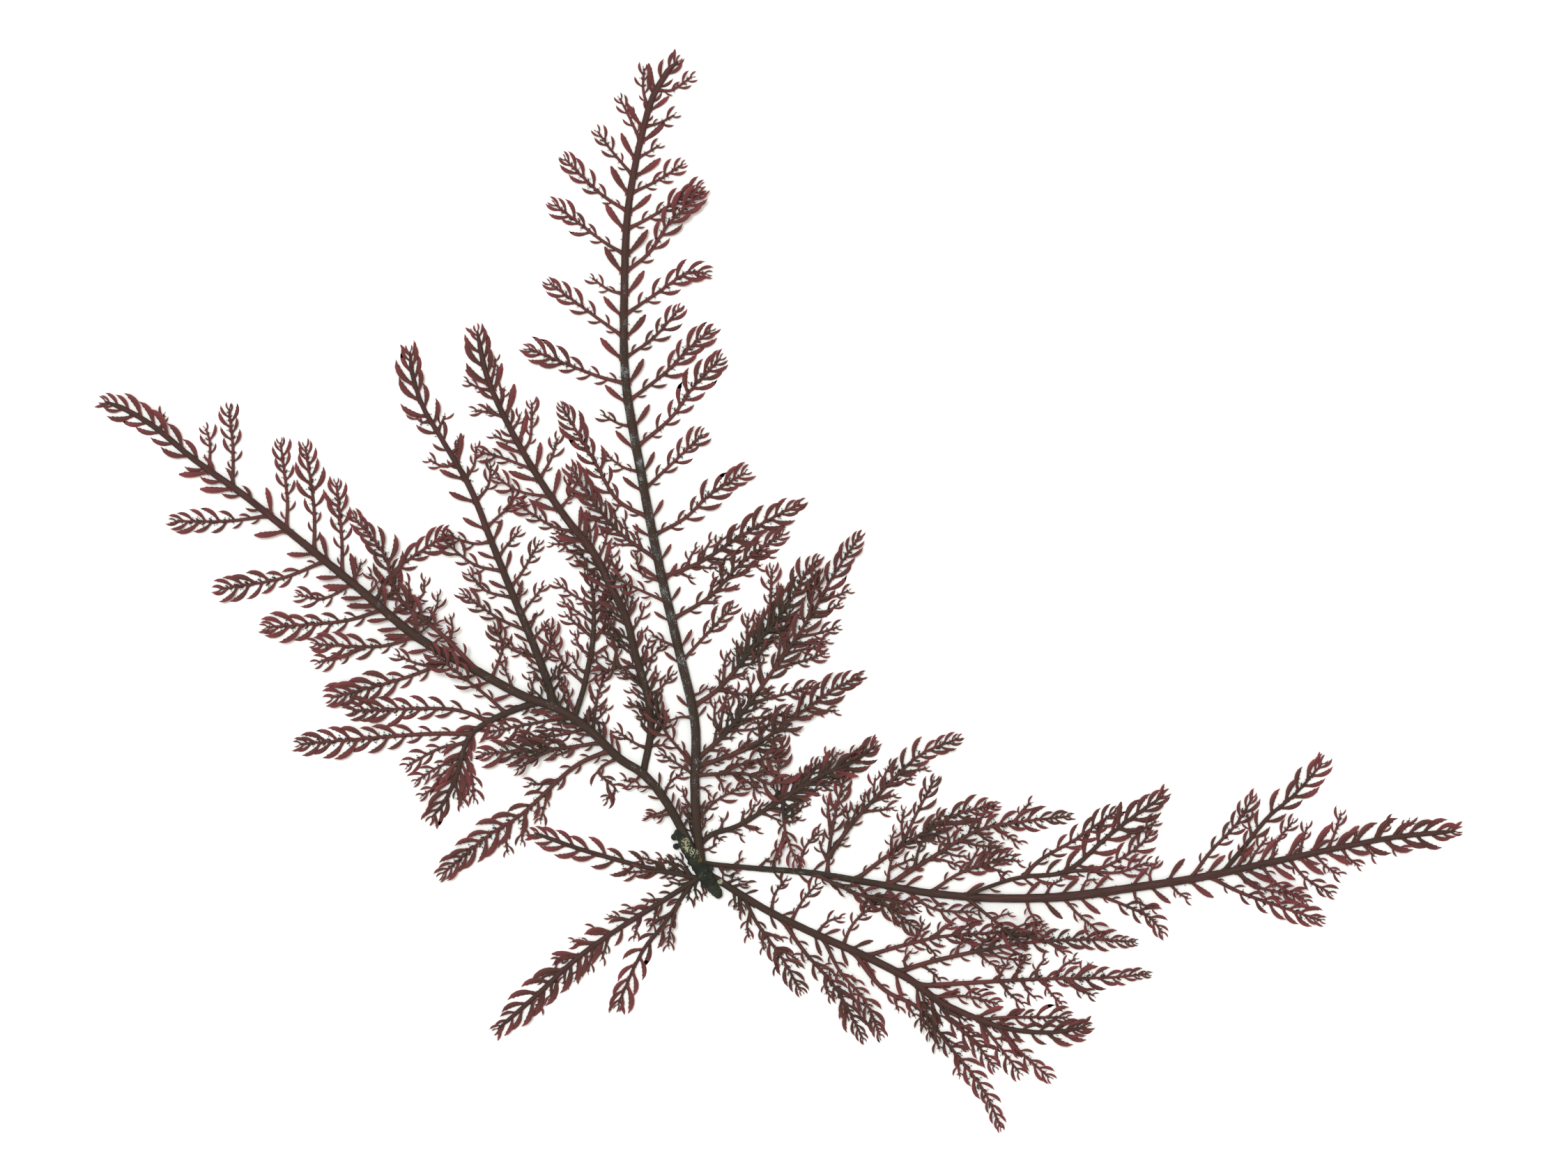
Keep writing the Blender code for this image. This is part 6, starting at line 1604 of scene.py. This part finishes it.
# %% Tree for blades along courses
def blades_tree():
    """Blades by turns left and right along each course."""
    tree, given, result = new_group(
        "blades_along_courses", "GeometryNodeTree",
        (("Courses", "Geometry"), ("Left Blade", "Object"), ("Right Blade", "Object"),
         ("Pitch", "Float", 2.35 * MM), ("Pitch Growth", "Float", 0.018), ("Crowding", "Float", 0.5),
         ("Shortest", "Float", 2.3 * MM), ("Growth", "Float", 0.15), ("Longest", "Float", 6.6 * MM),
         ("Bare Foot", "Float", 1.4 * MM), ("Share", "Float", 1.0),
         ("Lean Spread", "Float", 0.16), ("Close At Tip", "Float", 0.25),
         ("Lift", "Float", 0.0), ("Seed", "Int", SEED), ("Skin", "Material")),
        (("Blades", "Geometry"),))
    draw_one = draws_of(tree, given["Seed"])
    # Two points to a pitch, slid along the course
    whole = place(tree, "GeometryNodeSplineLength").outputs["Length"]
    pitch = calc(tree, "ADD", given["Pitch"], calc(tree, "MULTIPLY", whole, given["Pitch Growth"]))
    curves = place(tree, "GeometryNodeMeshToCurve", {"Mesh": given["Courses"]}).outputs[0]
    even = place(tree, "GeometryNodeResampleCurve",
                 {"Curve": curves, "Length": calc(tree, "MULTIPLY", pitch, 0.5)}, mode="LENGTH").outputs[0]
    spline = place(tree, "GeometryNodeSplineParameter").outputs
    slid = slid_to_tip(tree, spline["Factor"], given["Crowding"])
    curve_of = place(tree, "GeometryNodeCurveOfPoint").outputs["Curve Index"]
    sample = place(tree, "GeometryNodeSampleCurve",
                   {"Curves": curves, "Factor": slid, "Curve Index": curve_of}, mode="FACTOR").outputs
    # What each point keeps: its side, and how long its blade is, if it has one
    order = calc(tree, "MODULO", calc(tree, "ADD", spline["Index"], curve_of), 2.0)
    longest = calc(tree, "MINIMUM", given["Longest"],
                   calc(tree, "MULTIPLY_ADD", whole, given["Growth"], given["Shortest"]))
    length = calc(tree, "MULTIPLY", calc(tree, "MULTIPLY", longest, length_along(tree, slid)),
                  draw_one(0.82, 1.14, 0))
    beyond = compare(tree, "GREATER_THAN", calc(tree, "MULTIPLY", slid, whole), given["Bare Foot"])
    chosen = compare(tree, "LESS_THAN", draw_one(0.0, 1.0, 37), given["Share"])
    points = kept(tree, even, "shade", draw_one(0.0, 1.0, 51))
    left = calc(tree, "SUBTRACT", 1.0, order)
    wanted = calc(tree, "MULTIPLY", beyond, chosen)
    for word, value in (("place_on", slid), ("left", left), ("length", length), ("wanted", wanted)):
        points = kept(tree, points, word, value)
    points = kept(tree, points, "ahead", sample["Tangent"], "FLOAT_VECTOR")
    # The points move to their places, and take their blades
    height = calc(tree, "ADD", given["Lift"], draw_one(-0.05 * MM, 0.09 * MM, 67))
    lift = place(tree, "ShaderNodeCombineXYZ", {"Z": height}).outputs[0]
    placed = place(tree, "GeometryNodeSetPosition", {"Geometry": points, "Position": sample["Position"],
                                                     "Offset": lift}).outputs[0]
    near_tip = calc(tree, "POWER", named(tree, "place_on"), 5.0)
    closing = calc(tree, "MULTIPLY", near_tip, given["Close At Tip"])
    spread = draw_one(calc(tree, "MULTIPLY", given["Lean Spread"], -1.0), given["Lean Spread"], 11)
    leans = (calc(tree, "SUBTRACT", spread, closing), calc(tree, "ADD", spread, closing))
    blades = both_sides(tree, placed, given, named(tree, "wanted"), leans, draw_one(-0.22, 0.22, 23))
    tree.links.new(blades, result["Blades"])
    return tree


BLADES = blades_tree()
describe(BLADES)

# %% [markdown]
# ## A tree for the single blades of a stem
#
# The blades along a stem are not evenly spaced: each one faces a spray. So their
# places are worked out first, as loose points that carry their direction, side and
# length, and this tree only puts a blade on each.

# %% Tree for blades at marks
def marked_tree():
    """One blade on each mark."""
    tree, given, result = new_group(
        "blades_at_marks", "GeometryNodeTree",
        (("Marks", "Geometry"), ("Left Blade", "Object"), ("Right Blade", "Object"),
         ("Lean Spread", "Float", 0.12), ("Seed", "Int", SEED), ("Skin", "Material")),
        (("Blades", "Geometry"),))
    draw_one = draws_of(tree, given["Seed"])
    spread = draw_one(calc(tree, "MULTIPLY", given["Lean Spread"], -1.0), given["Lean Spread"], 0)
    shaded = kept(tree, given["Marks"], "shade", draw_one(0.0, 1.0, 51))
    points = place(tree, "GeometryNodeMeshToPoints", {"Mesh": shaded}).outputs[0]
    blades = both_sides(tree, points, given, 1.0, (spread, spread), draw_one(-0.15, 0.15, 23))
    tree.links.new(blades, result["Blades"])
    return tree


MARKED = marked_tree()
describe(MARKED)

# %% [markdown]
# ## How crowded the courses are
#
# Where many sprays lie over each other the plant looks nearly black, because no light
# comes through, and this is painted as shade. So each station counts the stations of other
# courses close by, and the blade material darkens by that number with painted shade.

# %% How crowded each station is
NEAR = 2.4
CROWD_FROM = 7
CROWD_SPAN = 14.0
ALL_COURSES = [course for grown in COURSES.values() for course in grown]
EVERYWHERE = np.vstack([course.xy for course in ALL_COURSES])
OWNER = np.concatenate([np.full(len(course.xy), k) for k, course in enumerate(ALL_COURSES)])
for number, course in enumerate(ALL_COURSES):
    gaps = np.hypot(*(course.xy[:, None, :] - EVERYWHERE[None, :, :]).transpose(2, 0, 1))
    others = ((gaps < NEAR) & (OWNER != number)[None, :]).sum(axis=1)
    course.crowd = np.clip((others - CROWD_FROM) / CROWD_SPAN, 0.0, 1.0)
CROWDS = np.concatenate([course.crowd for course in ALL_COURSES])
print("share of the stations in a crowd:", round(float(np.mean(CROWDS > 0.3)), 2))

# %% [markdown]
# ## From courses to a piece
#
# The courses of a frond become loose edges, one object for its stems, one for its
# sprays and one for its leafy ends, whose points carry their half width and their
# youth. Each tree is run on them as a modifier, its result is taken as a plain mesh,
# and the meshes are joined to one piece, which stands for that node of the solid model.

# %% Courses as edges
def as_edges(name, courses):
    """Loose edges along the courses, with the numbers that the trees read."""
    verts, edges, half, youth, crowd = [], [], [], [], []
    for course, (start, end) in courses:
        first = len(verts)
        verts += [(x, y, z) for (x, y), z in zip(course.xy * MM, course.z * MM)]
        edges += [(first + k, first + k + 1) for k in range(len(course.z) - 1)]
        half += list(0.5 * course.width * MM)
        youth += list(np.interp(course.along, (0.0, course.length), (start, end)))
        crowd += list(course.crowd)
    mesh = bpy.data.meshes.new(name)
    mesh.from_pydata(verts, edges, [])
    for word, values in (("half_width", half), ("youth", youth), ("crowd", crowd)):
        mesh.attributes.new(word, "FLOAT", "POINT").data.foreach_set("value", values)
    return plain_object(name, mesh)


def frond_edges(node):
    """A frond's stems, its sprays and its leafy ends, each younger towards its end."""
    courses = COURSES[node]
    main = courses[0]
    stems = [(c, (0.0, 0.9)) for c in courses if c.is_stem]
    ends = [(c, (0.5, 1.0)) for c in courses if c.is_end]
    sprays = []
    for course in [c for c in courses if not c.is_stem and not c.is_end]:
        where = main.nearest(course.xy[0])[0] / main.length
        sprays.append((course, (0.15 + 0.6 * where, min(1.0, 0.55 + 0.5 * where))))
    return [as_edges(node + word, rows)
            for word, rows in (("_stems", stems), ("_sprays", sprays), ("_ends", ends))]


print("helpers:", as_edges.__name__, frond_edges.__name__)


# %% Trees as meshes
def run_tree(source, tree, **inputs):
    """A tree run on an object, as an object of its own; the modifier comes off again."""
    modifier = source.modifiers.new(tree.name, "NODES")
    modifier.node_group = tree
    for socket in tree.interface.items_tree:
        word = socket.name.lower().replace(" ", "_")
        if socket.in_out == "INPUT" and word in inputs:
            modifier[socket.identifier] = inputs[word]
    graph = bpy.context.evaluated_depsgraph_get()
    mesh = bpy.data.meshes.new_from_object(source.evaluated_get(graph), depsgraph=graph)
    source.modifiers.remove(modifier)
    return plain_object(source.name + "_" + tree.name, mesh)


def set_out(source, tree, pair, **inputs):
    """A pair of shapes, left and right, set out by a tree."""
    return run_tree(source, tree, left_blade=pair[0], right_blade=pair[1], **inputs)


def joined(name, objects):
    """Several meshes as one object, which keeps their numbers and materials."""
    with bpy.context.temp_override(active_object=objects[0], selected_editable_objects=objects):
        bpy.ops.object.join()
    objects[0].name = name
    objects[0].data.name = name
    return objects[0]


print("helpers:", run_tree.__name__, set_out.__name__, joined.__name__)

# %% [markdown]
# ## The blades that face the sprays
#
# On the real plant each node of a stem has a spray on one side and a single toothed
# blade on the other. So a mark is set across from each spray of some length, at the
# stem's edge, and one more at its end. Blades are short near the foot of the stem,
# longest at four fifths of it, and shorter on short stems.

# %% Blades that face the sprays
BLADE_ALONG_STEM = ((0.0, 0.15, 0.5, 0.8, 1.0), (2.6, 3.6, 5.4, 6.8, 5.0))
END_BLADE = 3.4


def stem_marks(stem, dice):
    """The single blades of a stem: place, direction, side, length and youth."""
    spots = [(s, -side_of(stem, s, child)) for s, child in stem.children
             if child.length > 5.0 and 3.0 < s < stem.length - 2.0]
    marks = []
    for s, side in spots:
        length = np.interp(s / stem.length, *BLADE_ALONG_STEM)
        length *= min(1.0, 0.55 + stem.length / 150.0) * dice.uniform(0.88, 1.12)
        at, ahead = stem.at(s)
        edge = 0.3 * np.interp(s, stem.along, stem.width)
        x, y = at + side * edge * np.array([-ahead[1], ahead[0]])
        z = np.interp(s, stem.along, stem.z)
        marks.append(((x, y, z), (*ahead, 0.0), float(side > 0), length, s / stem.length))
    last, ahead = stem.at(stem.length - 1.0)[0], stem.at(stem.length)[1]
    marks.append(((*last, stem.z[-1]), (*ahead, 0.0), 1.0, END_BLADE, 1.0))
    return marks


def as_marks(name, marks):
    """Loose points with the numbers that the marked tree reads."""
    mesh = bpy.data.meshes.new(name)
    mesh.from_pydata([tuple(c * MM for c in mark[0]) for mark in marks], [], [])
    mesh.attributes.new("ahead", "FLOAT_VECTOR", "POINT").data.foreach_set(
        "vector", [c for mark in marks for c in mark[1]])
    for word, column, unit in (("left", 2, 1.0), ("length", 3, MM), ("youth", 4, 1.0)):
        mesh.attributes.new(word, "FLOAT", "POINT").data.foreach_set(
            "value", [unit * mark[column] for mark in marks])
    return plain_object(name, mesh)


crown_stem = COURSES["crown_frond"][0]
print("the crown stem has", len(stem_marks(crown_stem, random.Random(SEED))), "blades of its own")

# %% [markdown]
# ## All fronds
#
# Every frond is grown with the same trees, and differs only in its courses, its
# seed and its finishes. The dense fronds on the right dried darker, so their blades
# take the darker skin, and they are shorter there.

# %% Sizes and finishes
# The bark, the blades and the longest blade, in millimetres
FINISH = {
    "crown_frond": (CROWN_BARK, BLADE_SKIN, 6.2),
    "right_frond": (RIGHT_BARK, DARK_BLADE_SKIN, 5.2),
    "lower_right_frond": (PLAIN_BARK, DARK_BLADE_SKIN, 5.0),
    "lower_left_frond": (PLAIN_BARK, BLADE_SKIN, 6.0),
    "low_right_branch": (PLAIN_BARK, BLADE_SKIN, 4.6),
}
PLAIN_FINISH = (PLAIN_BARK, BLADE_SKIN, 6.8)
STEM_SKIN = {"flatness": 0.7, "sides": 12, "roughen": 0.05 * MM}
RIB_SKIN = {"station": 1.0 * MM, "flatness": 0.5, "sides": 6, "flare": 0.9, "flare_length": 2.2 * MM,
            "roughen": 0.0}
END_BLADES = {"pitch": 2.9 * MM, "longest": 7.0 * MM}
AXIL_BRANCHLETS = {"pitch": 1.5 * MM, "crowding": 0.2, "shortest": 0.7 * MM, "growth": 0.015,
                   "longest": 1.2 * MM, "share": 0.45, "lean_spread": 0.5, "close_at_tip": 0.0,
                   "lift": 0.12 * MM, "bare_foot": 1.0 * MM}
FACING_BRANCHLETS = {"shortest": 0.8 * MM, "growth": 0.025, "longest": 1.6 * MM, "share": 0.8,
                     "lean_spread": 0.3, "close_at_tip": 0.0, "bare_foot": 1.0 * MM}
STEM_BRANCHLETS = {"pitch": 3.4 * MM, "crowding": 0.0, "pitch_growth": 0.0, "shortest": 1.3 * MM,
                   "growth": 0.0, "longest": 1.3 * MM, "share": 0.5, "lean_spread": 0.5,
                   "close_at_tip": 0.0}
print(len(FINISH), "fronds with a finish of their own")


# %% Grow the fronds
def grow(node, number):
    """One frond as one mesh: skins, ribs, blades and branchlets."""
    bark, blade_skin, longest = FINISH.get(node, PLAIN_FINISH)
    seed = SEED + 100 * number
    dice = random.Random(seed)
    stems, sprays, ends = frond_edges(node)
    marks = as_marks(node + "_marks", [mark for stem in COURSES[node] if stem.is_stem
                                       for mark in stem_marks(stem, dice)])
    parts = [
        run_tree(stems, SKIN, seed=seed, skin=bark, **STEM_SKIN),
        run_tree(sprays, SKIN, seed=seed, skin=blade_skin, **RIB_SKIN),
        set_out(sprays, BLADES, SPRAY_BLADES, seed=seed, skin=blade_skin, longest=longest * MM),
        set_out(sprays, BLADES, BRANCHLETS, seed=seed + 5, skin=BRANCHLET_SKIN, **AXIL_BRANCHLETS),
        set_out(sprays, BLADES, BRANCHLETS[::-1], seed=seed + 7, skin=BRANCHLET_SKIN, **FACING_BRANCHLETS),
        set_out(ends, BLADES, SPRAY_BLADES, seed=seed + 3, skin=blade_skin, **END_BLADES),
        set_out(marks, MARKED, STEM_BLADES, seed=seed, skin=blade_skin),
        set_out(stems, BLADES, BRANCHLETS, seed=seed + 9, skin=BRANCHLET_SKIN, **STEM_BRANCHLETS),
    ]
    frond = joined(node + "_grown", parts)
    for scaffold in (stems, sprays, ends, marks):
        bpy.data.objects.remove(scaffold)
    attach(frond, "root")
    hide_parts(node)
    return frond


for number, node in enumerate(FRONDS):
    print(node, len(grow(node, number).data.polygons), "faces")
for shape in SPRAY_BLADES + STEM_BLADES + BRANCHLETS:
    bpy.data.objects.remove(shape)

# %% [markdown]
# ## The holdfast
#
# The plant held on to rock with this lump. It is greenish black, knobbed and worn,
# with cream crust in its upper hollows and one rusty speck. A few rounded lumps are
# fused by a voxel remesh, which gives the soft joins that a Boolean can't, and then
# pushed in and out by noise.

# %% Lumps of the holdfast
HOLDFAST_LUMPS = (
    ((-6.6, 9.2, 0.8), 0.9), ((-5.9, 8.2, 0.9), 1.15), ((-5.1, 7.0, 1.1), 1.45), ((-4.3, 5.7, 1.2), 1.6),
    ((-3.5, 4.4, 1.3), 1.65), ((-2.7, 3.2, 1.4), 1.7), ((-1.9, 2.0, 1.5), 1.7), ((-1.1, 0.8, 1.5), 1.7),
    ((-0.3, -0.5, 1.5), 1.65), ((0.5, -1.7, 1.4), 1.6), ((1.2, -2.8, 1.2), 1.5), ((1.9, -3.8, 1.0), 1.3),
    ((2.3, -4.4, 0.8), 1.0), ((-7.3, 8.3, 0.8), 0.8), ((-6.9, 6.3, 0.8), 0.75), ((-6.0, 6.6, 0.8), 0.6),
    ((-2.0, 5.0, 1.1), 0.9), ((-3.8, 2.6, 0.8), 0.8), ((0.6, 1.2, 1.1), 0.8), ((2.9, -1.6, 0.8), 0.8),
)
VOXEL = 0.13 * MM


def lumps_object(name):
    """Rounded lumps as one object, still overlapping."""
    lumps = bmesh.new()
    for centre, radius in HOLDFAST_LUMPS:
        ball = bmesh.ops.create_icosphere(lumps, subdivisions=3, radius=radius * MM)["verts"]
        for vert in ball:
            vert.co = Vector(vert.co) + Vector(centre) * MM
    return object_from(lumps, name)


holdfast = lumps_object("holdfast_lump")
fuse = holdfast.modifiers.new("fuse", "REMESH")
fuse.mode = "VOXEL"
fuse.voxel_size = VOXEL
soften = holdfast.modifiers.new("soften", "SMOOTH")
soften.iterations = 8
graph = bpy.context.evaluated_depsgraph_get()
holdfast.data = bpy.data.meshes.new_from_object(holdfast.evaluated_get(graph), depsgraph=graph)
holdfast.modifiers.clear()
print(len(HOLDFAST_LUMPS), "lumps fused to", len(holdfast.data.polygons), "faces")

# %% Worn surface of the holdfast
def weathered(mesh, coarse, fine):
    """Pushes a surface in and out by noise, and keeps it above the sheet."""
    normals = [vert.normal.copy() for vert in mesh.vertices]
    for vert, normal in zip(mesh.vertices, normals):
        slow = noise.fractal(vert.co * 420.0, 1.0, 2.0, 3)
        quick = noise.noise(vert.co * 2400.0)
        vert.co += normal * (coarse * slow + fine * quick)
        vert.co.z = max(vert.co.z, 0.0)


weathered(holdfast.data, 0.22 * MM, 0.09 * MM)
holdfast.data.shade_smooth()
print("holdfast", [round(1000 * side, 1) for side in holdfast.dimensions], "mm")

# %% Finish of the holdfast
HOLDFAST_BLACK = (0.019, 0.021, 0.017, 1.0)
HOLDFAST_GREEN = (0.033, 0.039, 0.028, 1.0)
CRUST_GRAIN = 0.42 * MM
# Where each patch of crust lies, its reach, its colour and how thick it is
CRUST_PATCHES = (
    ((-4.9, 7.2, 2.4), 2.0, (0.36, 0.34, 0.21, 1.0), 0.95),
    ((-2.9, 4.9, 2.6), 1.8, (0.38, 0.36, 0.23, 1.0), 1.0),
    ((-4.2, 5.8, 2.4), 1.5, (0.34, 0.33, 0.22, 1.0), 1.0),
    ((2.9, -1.4, 1.6), 1.3, (0.38, 0.37, 0.25, 1.0), 1.1),
    ((-0.3, -0.4, 2.8), 3.2, (0.12, 0.13, 0.10, 1.0), 0.55),
    ((-1.5, 3.4, 2.9), 0.95, (0.20, 0.10, 0.02, 1.0), 1.0),
)


def holdfast_material():
    """Greenish black, with patches of crust."""
    material, tree, shader = dull_skin("holdfast_skin", 0.7)
    mottle = grouped(tree, MOTTLE, {"Color": HOLDFAST_BLACK, "Patch Color": HOLDFAST_GREEN,
                                    "Patch Size": 2.5, "Patch Share": 0.8, "Grain": 0.8})
    spot = place(tree, "ShaderNodeTexCoord").outputs["Object"]
    fine = scaled(tree, spot, 1.0 / CRUST_GRAIN)
    colour = mottle.outputs["Color"]
    for centre, reach, crust, amount in CRUST_PATCHES:
        middle = tuple(c * MM for c in centre)
        gap = place(tree, "ShaderNodeVectorMath", {0: spot, 1: middle},
                    operation="DISTANCE").outputs["Value"]
        near = span(tree, gap, reach * MM, 0.4 * reach * MM)
        crusted = grouped(tree, CRUST, {"Color": colour, "Crust Color": crust, "Spot": fine,
                                        "Amount": calc(tree, "MULTIPLY", near, amount)})
        colour = crusted.outputs["Color"]
    tree.links.new(colour, shader.inputs["Base Color"])
    bumped(tree, shader, mottle.outputs["Height"], 0.15 * MM)
    return material


holdfast.data.materials.append(holdfast_material())
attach(holdfast, "root")
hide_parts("holdfast")
print("holdfast", len(holdfast.data.polygons), "faces")

# %% Finish
shown_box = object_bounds()
for word, box in (("solid", cad_box), ("shown", shown_box)):
    print(word, [[round(1000 * c, 1) for c in corner] for corner in box])
